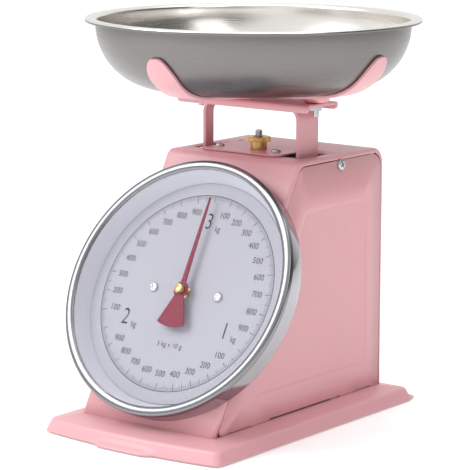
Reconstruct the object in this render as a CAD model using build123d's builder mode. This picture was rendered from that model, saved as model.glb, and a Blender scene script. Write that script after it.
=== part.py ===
from build123d import *
import math
import os

# A 3 kg spring kitchen scale. Origin at the middle of the footprint, on the table.
# X runs to the right as seen from the dial, the dial looks towards -Y, Z is up. Millimetres.

# ---- Sheet and general sizes -------------------------------------------------------------
sheet = 1.2
fit = 0.05
seat_gap = 0.3

# ---- Base tray ---------------------------------------------------------------------------
base_side_shelf = 17.5
base_front_shelf = 17.3
base_rear_shelf = 13.7
base_top = 12.0
base_crease = 9.3
base_bow = 6.0
skirt_bottom = 1.2
skirt_draft = 3.0
shoulder_width = 15.0
base_corner = 4.5
lip_width = 42.0
lip_rear_inset = 0.8
lip_reach_front = 3.5
lip_reach_rear = 6.0
lip_height = 3.0
foot_radius = 7.0
foot_stub_radius = 2.5
foot_margin = 1.0

# ---- Housing -----------------------------------------------------------------------------
housing_width = 107.0
housing_top = 173.2
housing_rear = 85.7
brow_y = -9.8
front_tilt = math.radians(28.5)
brow_bend = 6.0
rear_bend = 10.0
side_round = 2.4
seam_inset = 2.7
seam_gap = 0.3
panel_brow_bend = 8.0
panel_toe_bend = 3.0
slit_height = 1.2
slit_spans = ((-125.3, -47.8), (-29.3, -13.3))
seam_span = (14.2, 39.2)
field_depth = 0.4
field_over_base = 18.0
field_under_top = 31.2
field_rear_margin = 15.0
field_front_margin = 24.0
field_corner = 7.0
flange_width = 8.0
side_screw_back = 6.8
side_screw_under_top = 6.2
side_screw_head = 3.75
vent_back = 12.0
vent_x = -38.0
vent_radius = 1.8

# ---- Mechanism window and top plate ------------------------------------------------------
window_side_gap = 4.2
window_front_gap = 2.0
window_rear_gap = 5.0
top_plate_left_gap = 3.8
top_plate_right_gap = 9.8
top_plate_front_reach = 7.0
top_plate_rear_reach = 30.0
top_plate_corner = 3.0
top_plate_screw_x = (-29.0, 17.0)
top_plate_screw_back = 7.0
top_plate_screw_head = 3.2

# ---- Yoke, channel and cradle ------------------------------------------------------------
yoke_side_gap = 13.2
yoke_sheet = 2.5
yoke_bend = 10.0
yoke_front = 7.9
yoke_right_width = 21.5
yoke_left_width = 8.6
yoke_left_inset = 3.0
yoke_over_base = 48.0
channel_overhang = 12.6
channel_width = 33.3
channel_middle_back = 8.5
channel_sheet = 2.0
channel_depth = 5.0
channel_rise = 35.2
channel_corner = 2.5
cradle_sheet = 1.8
cradle_side = -1.9
cradle_back = 7.2
cradle_rise = 4.8
cradle_cup_radius = 10.0
cradle_cup_foot = 7.5
cradle_cup_wall = 1.5
cradle_rim_drop = 14.0
cradle_reach = 99.7
cradle_scoop_place = 84.9
cradle_scoop_radius = 74.5
cradle_tip_round = 9.5
cradle_screw_overhang = 6.5
cradle_screw_back = 9.5
cradle_screw_radius = 2.0
cradle_screw_head = 3.8
cradle_screw_height = 2.2
cradle_screw_length = 8.9
cradle_nut_across = 7.0
cradle_nut_height = 3.0
rivet_radius = 1.6
rivet_head = 3.0
rivet_head_height = 1.2
yoke_rivet_x = 20.0

# ---- Bowl --------------------------------------------------------------------------------
bowl_depth = 45.6
rim_radius = 109.0
bowl_radius = 102.2
bowl_curve = 41.5
bowl_wall = 0.8
rim_roll = 1.6

# ---- Dial --------------------------------------------------------------------------------
dial_stand = 2.6
dial_over_base = 78.8
drum_radius = 84.5
drum_wall = 0.8
bezel_front = 13.4
bezel_sheet = 0.9
bezel_skirt = 4.0
bezel_opening = 79.3
lens_sheet = 1.2
wall_ring_sheet = 0.8
dial_face_radius = 74.0
dial_face_sheet = 0.8
dial_hole = 3.5
dial_screw_x = 26.0
dial_screw_head = 3.2
dial_screw_radius = 1.5
dial_nut_across = 5.5
dial_nut_height = 2.4

# ---- Pointer and gear train --------------------------------------------------------------
shaft_radius = 1.2
shaft_front = 8.6
shaft_rear = -19.6
bush_radius = 2.75
bush_flange = 4.0
bush_flange_height = 0.8
bush_nose = 1.0
pointer_height = 5.0
pointer_sheet = 0.8
pointer_length = 63.0
pointer_root_half = 1.9
pointer_tip_half = 0.7
pointer_hub = 5.5
pointer_tail = 25.0
pointer_tail_edge = 22.5
pointer_tail_half = 11.0
pointer_tail_neck = 4.0
pointer_tail_neck_half = 3.5
pointer_nut_radius = 3.2
pointer_nut_height = 3.6
gear_module = 0.4
gear_teeth = 10
gear_shift = 0.4
gear_pressure = math.radians(20.0)
gear_tip_radius = 2.45
gear_play = 0.02
pinion_front = -6.0
pinion_rear = -16.6
rack_front = -7.0
rack_width = 2.0
rack_low_teeth = 2
rack_high_teeth = 13
rack_back = 4.2
rack_tail = -16.0
arm_sheet = 1.5
arm_drop_width = 2.4
arm_height = 8.0
bracket_half_width = 16.0
bracket_half_height = 6.0
bracket_rear = -17.3
bracket_flange = 5.0

# ---- Levers and carriage -----------------------------------------------------------------
travel = 14.28
lever_pivot_margin = 6.0
lever_arm_width = 10.0
lever_sheet = 1.5
lever_side_gap = 2.9
lever_strap_place = 12.0
lever_strap_width = 8.0
pin_radius = 2.0
pin_back = 7.0
pin_head_radius = 3.0
pin_head_height = 0.8
lower_pivot_over_base = 58.0
upper_pivot_under_top = 33.2
slot_length = 5.4
slot_height = 4.2
mechanism_back = 11.0
bar_sheet = 2.5
bar_width = 12.0
bar_lift = 2.0
bar_tab_height = 12.0
bar_tab_sheet = 2.0
spring_inset = 6.0
spring_radius = 4.5
spring_wall = 1.0
hanger_side_gap = 9.8
hanger_width = 11.0
hanger_sheet = 3.0
hanger_under_top = 42.7
stud_radius = 2.5
stud_over_plate = 12.6
stud_head_radius = 4.0
stud_head_height = 2.5
zero_nut_flange = 7.8
zero_nut_neck = 5.5
zero_nut_neck_height = 5.0
zero_nut_flange_height = 3.2
knurl_count = 40
knurl_depth = 0.45
zero_clearance = 1.2

# ---- Chassis -----------------------------------------------------------------------------
chassis_reach = 40.5
chassis_web_gap = 1.0
chassis_foot = 12.0
base_screw_head = 3.0
base_screw_radius = 1.5
base_screw_inset = 8.3
base_screw_back = (6.0, 22.0)

# ---- Places worked out from the sizes above ----------------------------------------------
cos_t = math.cos(front_tilt)
sin_t = math.sin(front_tilt)


def front_y(height):
    """Where the sloping front face stands at a height."""
    return brow_y - (housing_top - height) * math.tan(front_tilt)


half = housing_width / 2
inner_half = half - sheet
roof = housing_top - sheet
plate_top = housing_top + sheet
front_foot = front_y(base_top)
base_width = housing_width + 2 * base_side_shelf
base_front = front_foot - base_front_shelf
base_rear = housing_rear + base_rear_shelf

yoke_half_width = half - yoke_side_gap
yoke_inner = yoke_half_width - yoke_sheet
yoke_bottom = base_top + yoke_over_base
pin_y = yoke_front + pin_back
mechanism_y = yoke_front + mechanism_back
channel_middle_y = yoke_front + channel_middle_back
cradle_x = cradle_side
cradle_y = yoke_front + cradle_back
channel_half_length = yoke_half_width + channel_overhang
channel_top = housing_top + channel_rise
yoke_top = channel_top - channel_sheet
cradle_bottom = channel_top + cradle_rise
cradle_top = cradle_bottom + cradle_sheet
cradle_screw_x = yoke_half_width + cradle_screw_overhang
cradle_screw_y = yoke_front + cradle_screw_back
cradle_screw_places = [(-cradle_screw_x, cradle_screw_y), (cradle_screw_x, cradle_screw_y)]
cradle_screw_seat = channel_top + cradle_sheet
cradle_screw_end = channel_top - cradle_screw_length
bowl_bottom = cradle_top + seat_gap
rim_top = bowl_bottom + bowl_depth

window_half_width = yoke_half_width + window_side_gap
window_front = yoke_front - window_front_gap
window_rear = yoke_front + yoke_right_width + window_rear_gap
top_plate_left = top_plate_left_gap - yoke_inner
top_plate_right = yoke_inner - top_plate_right_gap
top_plate_front = yoke_front - top_plate_front_reach
top_plate_rear = yoke_front + top_plate_rear_reach
top_plate_screw_y = yoke_front + top_plate_screw_back
vent_y = top_plate_rear + vent_back

chassis_rear = housing_rear - rear_bend - seat_gap
lever_pivot_y = chassis_rear - lever_pivot_margin
lever_rise = travel / 2
lever_length = math.hypot(lever_rise, lever_pivot_y - pin_y)
lever_rest = math.asin(lever_rise / lever_length)
lever_pivot_z = (base_top + lower_pivot_over_base, housing_top - upper_pivot_under_top)
lever_arm_x = yoke_half_width + lever_side_gap
bar_bottom = yoke_bottom + bar_lift
hanger_half_length = yoke_inner - hanger_side_gap
spring_x = hanger_half_length - spring_inset
hanger_bottom = housing_top - hanger_under_top
stud_top = plate_top + stud_over_plate
chassis_front = lever_pivot_y - chassis_reach
chassis_web_front = top_plate_rear + chassis_web_gap
base_screw_x = inner_half - base_screw_inset
base_screw_y = [chassis_front + back for back in base_screw_back]
side_screw_y = chassis_front + side_screw_back
side_screw_z = housing_top - side_screw_under_top
field_bottom = base_top + field_over_base
field_top = housing_top - field_under_top

pitch_radius = gear_module * gear_teeth / 2
rack_line = pitch_radius + gear_shift * gear_module
dial_z = base_top + dial_over_base
dial_y = front_y(dial_z) - dial_stand / cos_t
dial_plane = Plane(origin=(0, dial_y, dial_z), x_dir=(1, 0, 0), z_dir=(0, -cos_t, sin_t))
panel_depth = -dial_stand
drum_back = panel_depth
panel_back = panel_depth - sheet


def upright(y):
    """The vertical plane across the scale at a depth, looking from the front."""
    return Plane(origin=(0, y, 0), x_dir=(1, 0, 0), z_dir=(0, -1, 0))


def sideways(x):
    """The vertical plane along the scale at a distance from the middle, looking along X."""
    return Plane.YZ.offset(x)


def pan_screw(seat, head_radius, head_height, shank_radius, shank_length):
    """A cross-recess pan-head screw whose head stands on the seat plane."""
    recess_width = head_radius * 0.3
    recess_length = head_radius * 1.2
    with BuildPart() as screw:
        with BuildSketch(seat):
            Circle(head_radius)
        extrude(amount=head_height)
        crown = screw.faces().sort_by(Axis(seat.origin, seat.z_dir))[-1]
        fillet(crown.edges(), head_height * 0.45)
        with BuildSketch(seat.offset(head_height)):
            Rectangle(recess_length, recess_width)
            Rectangle(recess_width, recess_length)
        extrude(amount=-head_height * 0.6, mode=Mode.SUBTRACT)
        with BuildSketch(seat):
            Circle(shank_radius)
        extrude(amount=-shank_length)
    return screw.part


def hex_nut(seat, across, height, bore):
    """A hexagon nut that stands on the seat plane."""
    with BuildPart() as nut:
        with BuildSketch(seat):
            RegularPolygon(across / 2, 6, major_radius=False)
            Circle(bore, mode=Mode.SUBTRACT)
        extrude(amount=height)
    return nut.part


def rivet(seat, length, head_radius=rivet_head, radius=rivet_radius):
    """A rivet whose head stands on the seat plane and whose shank goes the other way."""
    with BuildPart() as pin:
        with BuildSketch(seat):
            Circle(head_radius)
        extrude(amount=rivet_head_height)
        crown = pin.faces().sort_by(Axis(seat.origin, seat.z_dir))[-1]
        fillet(crown.edges(), rivet_head_height * 0.6)
        with BuildSketch(seat):
            Circle(radius)
        extrude(amount=-length)
    return pin.part


# ==== Base ================================================================================
def base_outline(inset):
    """The outline of the tray in plan, with a slightly bowed front edge."""
    side = base_width / 2 - inset
    front = base_front + inset
    rear = base_rear - inset
    with BuildSketch() as outline:
        with BuildLine():
            ThreePointArc((-side, front), (0, front - base_bow), (side, front))
            Polyline((side, front), (side, rear), (-side, rear), (-side, front))
        make_face()
        fillet(outline.vertices(), base_corner)
    return outline.sketch


def tray_solid(inset, drop):
    """The tray's stacked shape, drawn in by a wall and let down by a wall."""
    low = inset + skirt_draft
    flat = inset + shoulder_width
    with BuildPart() as tray:
        with BuildSketch(Plane.XY.offset(skirt_bottom)):
            add(base_outline(inset))
        with BuildSketch(Plane.XY.offset(base_crease - drop)):
            add(base_outline(low))
        loft(ruled=True)
        with BuildSketch(Plane.XY.offset(base_crease - drop)):
            add(base_outline(low))
        with BuildSketch(Plane.XY.offset(base_top - drop)):
            add(base_outline(flat))
        loft(ruled=True)
    return tray.part


foot_inset = shoulder_width + sheet + foot_radius + foot_margin
foot_places = [
    (side * (base_width / 2 - foot_inset), y)
    for side in (-1, 1)
    for y in (base_front + foot_inset, base_rear - foot_inset)
]
base_screw_places = [(side * base_screw_x, y) for side in (-1, 1) for y in base_screw_y]

with BuildPart() as base_plate:
    add(tray_solid(0, 0))
    with BuildSketch(Plane.XY.offset(skirt_bottom)):
        with Locations((0, base_front - base_bow - lip_reach_front / 2 + 2)):
            RectangleRounded(lip_width, lip_reach_front + 4, 2.5)
        with Locations((0, base_rear + lip_reach_rear / 2 - 2)):
            RectangleRounded(base_width - 2 * lip_rear_inset, lip_reach_rear + 4, 3.5)
    extrude(amount=lip_height)
    add(tray_solid(sheet, sheet), mode=Mode.SUBTRACT)
    with BuildSketch(Plane.XY.offset(base_top)):
        with Locations(*foot_places):
            Circle(foot_stub_radius)
        with Locations(*base_screw_places):
            Circle(base_screw_radius)
    extrude(amount=-2 * sheet, mode=Mode.SUBTRACT)
base_plate.part.label = "base_plate"

with BuildPart() as feet:
    with BuildSketch(Plane.XY):
        with Locations(*foot_places):
            Circle(foot_radius)
    extrude(amount=base_top - sheet)
    chamfer(feet.edges().group_by(Axis.Z)[0], 0.8)
    with BuildSketch(Plane.XY.offset(base_top - sheet)):
        with Locations(*foot_places):
            Circle(foot_stub_radius)
    extrude(amount=sheet)
feet.part.label = "feet"


# ==== Housing =============================================================================
def housing_outline(inset, floor, brow_radius, tail_radius):
    """The side view of the housing, drawn in from the front, the top and the rear."""
    ceiling = housing_top - inset
    back = housing_rear - inset
    toe = front_y(floor) + inset / cos_t
    brow = front_y(ceiling) + inset / cos_t
    with BuildSketch() as outline:
        with BuildLine():
            Polyline((toe, floor), (brow, ceiling), (back, ceiling), (back, floor), (toe, floor))
        make_face()
        upper = outline.vertices().sort_by(Axis.Y)[-2:].sort_by(Axis.X)
        fillet(upper[0], brow_radius)
        fillet(outline.vertices().sort_by(Axis.Y)[-2:].sort_by(Axis.X)[-1], tail_radius)
    return outline.sketch


with BuildPart() as wrap_cover:
    with BuildSketch(Plane.YZ):
        add(housing_outline(0, base_top, brow_bend, rear_bend))
    extrude(amount=half, both=True)
    rims = wrap_cover.edges().filter_by(lambda e: abs(e.center().X) > inner_half)
    fillet(rims.filter_by(lambda e: e.center().Z > base_top + sheet), side_round)
    with BuildSketch(Plane.YZ):
        add(housing_outline(sheet, base_top - sheet, brow_bend - sheet, rear_bend - sheet))
    extrude(amount=inner_half, both=True, mode=Mode.SUBTRACT)
    with BuildSketch(Plane.YZ):
        add(housing_outline(seam_inset, base_top - sheet, panel_brow_bend, rear_bend))
    extrude(amount=housing_width, both=True, mode=Mode.SUBTRACT)
    with BuildSketch(Plane.XY.offset(base_top)):
        with Locations((0, front_y(base_top + sheet) + sheet / 2 + flange_width / 2)):
            Rectangle(2 * inner_half, flange_width)
        with Locations((0, housing_rear - sheet / 2 - flange_width / 2)):
            Rectangle(2 * inner_half, flange_width)
    extrude(amount=sheet)
    with BuildSketch(Plane.XY.offset(housing_top)):
        with Locations((0, (window_front + window_rear) / 2)):
            Rectangle(2 * window_half_width, window_rear - window_front)
        with Locations((vent_x, vent_y)):
            Circle(vent_radius)
    extrude(amount=-2 * sheet, mode=Mode.SUBTRACT)
    with BuildSketch(dial_plane.offset(panel_depth)):
        Circle(bush_radius)
        with Locations((-dial_screw_x, 0), (dial_screw_x, 0)):
            Circle(dial_screw_radius)
    extrude(amount=-2 * sheet, mode=Mode.SUBTRACT)
wrap_cover.part.label = "wrap_cover"


def side_panel(side):
    """A side panel: flat sheet with a pressed field, slits at the foot and one screw hole."""
    outside = sideways(side * half)
    inward = -side
    inset = seam_inset + seam_gap
    rear = housing_rear - inset - field_rear_margin
    low_front = front_y(field_bottom) + field_front_margin
    high_front = front_y(field_top) + field_front_margin
    with BuildPart() as panel:
        with BuildSketch(outside):
            add(housing_outline(inset, base_top, panel_brow_bend, rear_bend))
            with Locations((front_foot + (seam_span[0] + seam_span[1]) / 2, base_top)):
                Rectangle(seam_span[1] - seam_span[0], slit_height, mode=Mode.SUBTRACT)
            for start, end in slit_spans:
                with Locations((housing_rear + (start + end) / 2, base_top)):
                    Rectangle(end - start, 2 * slit_height, mode=Mode.SUBTRACT)
            with Locations((side_screw_y, side_screw_z)):
                Circle(rivet_radius, mode=Mode.SUBTRACT)
        extrude(amount=inward * sheet)
        toe = panel.edges().filter_by(Axis.X).filter_by(lambda e: e.center().Z < base_top + 0.1)
        fillet(toe.sort_by(Axis.Y)[0], panel_toe_bend)
        with BuildSketch(outside) as field:
            with BuildLine():
                Polyline(
                    (low_front, field_bottom),
                    (high_front, field_top),
                    (rear, field_top),
                    (rear, field_bottom),
                    (low_front, field_bottom),
                )
            make_face()
            fillet(field.vertices(), field_corner)
        extrude(amount=inward * field_depth, mode=Mode.SUBTRACT)
    return panel.part


side_panel_right = side_panel(1)
side_panel_right.label = "side_panel_right"
side_panel_left = side_panel(-1)
side_panel_left.label = "side_panel_left"

with BuildPart() as side_screws:
    for side in (-1, 1):
        seat = Plane(
            origin=(side * half, side_screw_y, side_screw_z), x_dir=(0, 1, 0), z_dir=(side, 0, 0)
        )
        add(pan_screw(seat, side_screw_head, 2.0, rivet_radius, 2 * sheet + 1.0))
side_screws.part.label = "side_screws"

with BuildPart() as top_plate:
    with BuildSketch(Plane.XY.offset(housing_top)) as plate:
        width = top_plate_right - top_plate_left
        depth = top_plate_rear - top_plate_front
        with Locations((top_plate_left + width / 2, top_plate_front + depth / 2)):
            Rectangle(width, depth)
        chamfer(plate.vertices(), top_plate_corner)
        with Locations((0, mechanism_y)):
            Circle(stud_radius + 2 * zero_clearance / 3, mode=Mode.SUBTRACT)
        with Locations(*[(x, top_plate_screw_y) for x in top_plate_screw_x]):
            Circle(rivet_radius, mode=Mode.SUBTRACT)
    extrude(amount=sheet)
    fillet(top_plate.edges().group_by(Axis.Z)[-1].filter_by(GeomType.LINE), 0.4)
top_plate.part.label = "top_plate"

with BuildPart() as top_plate_screws:
    for x in top_plate_screw_x:
        seat = Plane(origin=(x, top_plate_screw_y, plate_top), x_dir=(1, 0, 0), z_dir=(0, 0, 1))
        add(pan_screw(seat, top_plate_screw_head, 1.8, rivet_radius, 3 * sheet + 1.0))
top_plate_screws.part.label = "top_plate_screws"

with BuildPart() as chassis:
    wall_middle = (chassis_front + chassis_rear) / 2
    wall_length = chassis_rear - chassis_front
    with BuildSketch(Plane.XY.offset(base_top)):
        with Locations((inner_half - sheet / 2, wall_middle), (sheet / 2 - inner_half, wall_middle)):
            Rectangle(sheet, wall_length)
    extrude(amount=roof - base_top)
    with BuildSketch(Plane.XY.offset(base_top)):
        foot_middle = inner_half - chassis_foot / 2
        with Locations((foot_middle, wall_middle), (-foot_middle, wall_middle)):
            Rectangle(chassis_foot, wall_length)
        with Locations(*base_screw_places):
            Circle(base_screw_radius, mode=Mode.SUBTRACT)
    extrude(amount=sheet)
    with BuildSketch(Plane.XY.offset(roof)):
        with Locations((0, (chassis_web_front + chassis_rear) / 2)):
            Rectangle(2 * inner_half, chassis_rear - chassis_web_front)
        tongue_width = top_plate_right - top_plate_left - 2 * sheet
        tongue_front = top_plate_front
        with Locations(((top_plate_left + top_plate_right) / 2, (tongue_front + chassis_rear) / 2)):
            Rectangle(tongue_width, chassis_rear - tongue_front)
        with Locations((0, mechanism_y)):
            Circle(stud_radius + 2 * zero_clearance / 3, mode=Mode.SUBTRACT)
        with Locations(*[(x, top_plate_screw_y) for x in top_plate_screw_x]):
            Circle(rivet_radius, mode=Mode.SUBTRACT)
        with Locations((vent_x, vent_y)):
            Circle(vent_radius, mode=Mode.SUBTRACT)
    extrude(amount=-sheet)
    with BuildSketch(Plane.YZ):
        with Locations(*[(lever_pivot_y, z) for z in lever_pivot_z]):
            Circle(pin_radius)
        with Locations((side_screw_y, side_screw_z)):
            Circle(rivet_radius)
    extrude(amount=housing_width, both=True, mode=Mode.SUBTRACT)
chassis.part.label = "chassis"

with BuildPart() as base_screws:
    for x, y in base_screw_places:
        seat = Plane(origin=(x, y, base_top - sheet), x_dir=(1, 0, 0), z_dir=(0, 0, -1))
        add(pan_screw(seat, base_screw_head, 1.8, base_screw_radius, 2 * sheet + 1.5))
base_screws.part.label = "base_screws"

with BuildPart() as lever_axles:
    with BuildSketch(Plane.YZ):
        with Locations(*[(lever_pivot_y, z) for z in lever_pivot_z]):
            Circle(pin_radius)
    extrude(amount=inner_half - fit, both=True)
lever_axles.part.label = "lever_axles"

# ==== Dial ================================================================================
with BuildPart() as dial_drum:
    with BuildSketch(dial_plane.offset(drum_back)):
        Circle(drum_radius)
    extrude(amount=bezel_front - bezel_sheet - drum_back)
    with BuildSketch(dial_plane.offset(drum_back + drum_wall)):
        Circle(drum_radius - drum_wall)
    extrude(amount=bezel_front - drum_back, mode=Mode.SUBTRACT)
    with BuildSketch(dial_plane.offset(drum_back)):
        Circle(bush_radius)
        with Locations((-dial_screw_x, 0), (dial_screw_x, 0)):
            Circle(dial_screw_radius)
    extrude(amount=2 * drum_wall, mode=Mode.SUBTRACT)
dial_drum.part.label = "dial_drum"

lens_back = bezel_front - bezel_sheet - lens_sheet
lens_radius = drum_radius - drum_wall - fit

with BuildPart() as dial_face:
    with BuildSketch(dial_plane):
        Circle(dial_face_radius)
        Circle(dial_hole, mode=Mode.SUBTRACT)
        with Locations((-dial_screw_x, 0), (dial_screw_x, 0)):
            Circle(dial_screw_radius, mode=Mode.SUBTRACT)
    extrude(amount=-dial_face_sheet)
    with BuildSketch(dial_plane.offset(-dial_face_sheet)):
        with Locations((-dial_screw_x, 0), (dial_screw_x, 0)):
            Circle(dial_screw_radius + 1.5)
            Circle(dial_screw_radius, mode=Mode.SUBTRACT)
    extrude(amount=drum_back + drum_wall + dial_face_sheet)
dial_face.part.label = "dial_face"

with BuildPart() as dial_wall_ring:
    with BuildSketch(Plane.XZ):
        with BuildLine():
            foot_z = -dial_face_sheet
            lip_z = lens_back - fit
            inside = dial_face_radius + fit
            Polyline(
                (inside, foot_z),
                (bezel_opening, lip_z),
                (lens_radius - wall_ring_sheet, lip_z),
                (lens_radius - wall_ring_sheet, lip_z - wall_ring_sheet),
                (bezel_opening + wall_ring_sheet, lip_z - wall_ring_sheet),
                (inside + wall_ring_sheet, foot_z),
                (inside, foot_z),
            )
        make_face()
    revolve(axis=Axis.Z)
dial_wall_ring.part = dial_plane.location * dial_wall_ring.part
dial_wall_ring.part.label = "dial_wall_ring"

with BuildPart() as lens:
    with BuildSketch(dial_plane.offset(lens_back)):
        Circle(lens_radius)
    extrude(amount=lens_sheet)
lens.part.label = "lens"

with BuildPart() as bezel:
    with BuildSketch(Plane.XZ):
        with BuildLine():
            back = bezel_front - bezel_sheet
            outer = drum_radius + bezel_sheet
            Polyline(
                (bezel_opening, back),
                (bezel_opening, bezel_front),
                (outer, bezel_front),
                (outer, bezel_front - bezel_skirt),
                (drum_radius + fit, bezel_front - bezel_skirt),
                (drum_radius + fit, back),
                (bezel_opening, back),
            )
        make_face()
    revolve(axis=Axis.Z)
    fillet(bezel.edges().group_by(Axis.Z)[-1], bezel_sheet * 0.6)
bezel.part = dial_plane.location * bezel.part
bezel.part.label = "bezel"


def on_dial(x, height):
    """A plane parallel to the dial, centred at x on its level line and height in front of it."""
    return Plane(
        origin=dial_plane.from_local_coords((x, 0, height)), x_dir=(1, 0, 0), z_dir=dial_plane.z_dir
    )


with BuildPart() as dial_screws:
    for x in (-dial_screw_x, dial_screw_x):
        shank = dial_nut_height - panel_back + 1
        add(pan_screw(on_dial(x, 0), dial_screw_head, 1.6, dial_screw_radius, shank))
dial_screws.part.label = "dial_screws"

with BuildPart() as dial_nuts:
    for x in (-dial_screw_x, dial_screw_x):
        seat = on_dial(x, panel_back - dial_nut_height)
        add(hex_nut(seat, dial_nut_across, dial_nut_height, dial_screw_radius))
dial_nuts.part.label = "dial_nuts"

# ==== Gear train ==========================================================================
with BuildPart() as gear_bracket:
    with BuildSketch(dial_plane.offset(bracket_rear)):
        Rectangle(2 * bracket_half_width, 2 * bracket_half_height)
        Circle(bush_radius, mode=Mode.SUBTRACT)
    extrude(amount=-sheet)
    with BuildSketch(dial_plane.offset(bracket_rear - sheet)):
        leg_middle = bracket_half_width + sheet / 2
        with Locations((leg_middle, 0), (-leg_middle, 0)):
            Rectangle(sheet, 2 * bracket_half_height)
    extrude(amount=panel_back - bracket_rear + sheet)
    with BuildSketch(dial_plane.offset(panel_back)):
        flange_middle = bracket_half_width + bracket_flange / 2
        with Locations((flange_middle, 0), (-flange_middle, 0)):
            Rectangle(bracket_flange, 2 * bracket_half_height)
    extrude(amount=-sheet)
gear_bracket.part.label = "gear_bracket"

with BuildPart() as shaft_bushes:
    with BuildSketch(dial_plane.offset(drum_back + drum_wall)):
        Circle(bush_flange)
    extrude(amount=bush_flange_height)
    with BuildSketch(dial_plane.offset(drum_back + drum_wall)):
        Circle(bush_radius)
    extrude(amount=-(drum_wall + sheet + bush_nose))
    with BuildSketch(dial_plane.offset(bracket_rear - sheet)):
        Circle(bush_flange)
    extrude(amount=-bush_flange_height)
    with BuildSketch(dial_plane.offset(bracket_rear)):
        Circle(bush_radius)
    extrude(amount=-sheet)
    with BuildSketch(dial_plane.offset(shaft_rear)):
        Circle(shaft_radius + fit)
    extrude(amount=-2 * shaft_rear, mode=Mode.SUBTRACT)
shaft_bushes.part.label = "shaft_bushes"

with BuildPart() as pointer_shaft:
    with BuildSketch(dial_plane.offset(shaft_rear)):
        Circle(shaft_radius)
    extrude(amount=shaft_front - shaft_rear)
pointer_shaft.part.label = "pointer_shaft"


def involute(angle):
    """The involute function of a pressure angle."""
    return math.tan(angle) - angle


def pinion_tooth(turn):
    """One involute tooth, centred on the direction turn, reaching from the core to the tip."""
    base_radius = pitch_radius * math.cos(gear_pressure)
    thickness = gear_module * (math.pi / 2 + 2 * gear_shift * math.tan(gear_pressure)) - 2 * gear_play
    centre = thickness / (2 * pitch_radius) + involute(gear_pressure)
    steps = 4
    radii = [base_radius + (gear_tip_radius - base_radius) * n / steps for n in range(steps + 1)]
    angles = [centre - involute(math.acos(base_radius / radius)) for radius in radii]
    flank = [Vector(r * math.cos(a), r * math.sin(a)) for r, a in zip(radii, angles)]
    core = Vector(shaft_radius * math.cos(centre), shaft_radius * math.sin(centre))
    low_side = [core] + flank
    high_side = [Vector(p.X, -p.Y) for p in reversed(low_side)]
    outline = [p.rotate(Axis.Z, math.degrees(turn)) for p in low_side + high_side]
    with BuildSketch() as tooth:
        with BuildLine():
            Polyline(*outline, close=True)
        make_face()
    return tooth.sketch


pinion_root = rack_line - 1.25 * gear_module
with BuildPart() as pinion:
    with BuildSketch(dial_plane.offset(pinion_rear)):
        Circle(pinion_root)
        for number in range(gear_teeth):
            add(pinion_tooth((number + 0.5) * 2 * math.pi / gear_teeth))
        Circle(shaft_radius, mode=Mode.SUBTRACT)
    extrude(amount=pinion_front - pinion_rear)
pinion.part.label = "pinion"

rack_pitch = math.pi * gear_module
rack_tip = rack_line - 0.95 * gear_module
rack_root = rack_line + 1.15 * gear_module
with BuildPart() as rack:
    with BuildSketch(dial_plane.offset(rack_front)):
        top = (rack_high_teeth + 0.5) * rack_pitch
        with Locations(((rack_root + rack_back) / 2, (top + rack_tail) / 2)):
            Rectangle(rack_back - rack_root, top - rack_tail)
        for number in range(-rack_low_teeth, rack_high_teeth + 1):
            middle = number * rack_pitch
            half_line = rack_pitch / 4 - gear_play
            slope = math.tan(gear_pressure)
            half_tip = half_line - (rack_line - rack_tip) * slope
            half_root = half_line + (rack_root - rack_line) * slope
            with BuildLine():
                Polyline(
                    (rack_root, middle - half_root),
                    (rack_tip, middle - half_tip),
                    (rack_tip, middle + half_tip),
                    (rack_root, middle + half_root),
                    close=True,
                )
            make_face()
    extrude(amount=-rack_width)
rack.part.label = "rack"

bar_top = bar_bottom + bar_sheet
with BuildPart() as rack_arm:
    with BuildSketch(sideways(rack_back)):
        drop_front = dial_plane.from_local_coords((0, 0, rack_front))
        drop_rear = dial_plane.from_local_coords((0, 0, rack_front - arm_drop_width))
        top_run = (rack_high_teeth + 0.5) * rack_pitch
        up_y = sin_t
        up_z = cos_t
        heel_z = bar_top + arm_height
        rear_reach = (heel_z - drop_rear.Z) / up_z
        with BuildLine():
            Polyline(
                (drop_front.Y + top_run * up_y, drop_front.Z + top_run * up_z),
                (drop_rear.Y + top_run * up_y, drop_rear.Z + top_run * up_z),
                (drop_rear.Y + rear_reach * up_y, heel_z),
                (mechanism_y + bar_width / 2, heel_z),
                (mechanism_y + bar_width / 2, bar_top),
                (mechanism_y - bar_width / 2, bar_top),
                (drop_rear.Y + rack_tail * up_y, bar_top + 1.0),
                (drop_front.Y + rack_tail * up_y, drop_front.Z + rack_tail * up_z),
                close=True,
            )
        make_face()
    extrude(amount=arm_sheet)
    with BuildSketch(Plane.XY.offset(bar_top)):
        with Locations((rack_back + bar_width / 2, mechanism_y)):
            Rectangle(bar_width, bar_width)
        with Locations((rack_back + bar_width * 0.6, mechanism_y)):
            Circle(rivet_radius, mode=Mode.SUBTRACT)
    extrude(amount=arm_sheet)
rack_arm.part.label = "rack_arm"

with BuildPart() as pointer:
    with BuildSketch(dial_plane.offset(pointer_height)):
        Circle(pointer_hub)
        with BuildLine():
            Polyline(
                (-pointer_root_half, 0),
                (-pointer_tip_half, pointer_length),
                (pointer_tip_half, pointer_length),
                (pointer_root_half, 0),
                close=True,
            )
        make_face()
        with BuildLine():
            left_edge = (-pointer_tail_half, -pointer_tail_edge)
            right_edge = (pointer_tail_half, -pointer_tail_edge)
            left_neck = (-pointer_tail_neck_half, -pointer_tail_neck)
            right_neck = (pointer_tail_neck_half, -pointer_tail_neck)
            Line(left_neck, left_edge)
            ThreePointArc(left_edge, (0, -pointer_tail), right_edge)
            Line(right_edge, right_neck)
            Line(right_neck, left_neck)
        make_face()
        Circle(shaft_radius, mode=Mode.SUBTRACT)
    extrude(amount=pointer_sheet)
pointer.part.label = "pointer"

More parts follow.
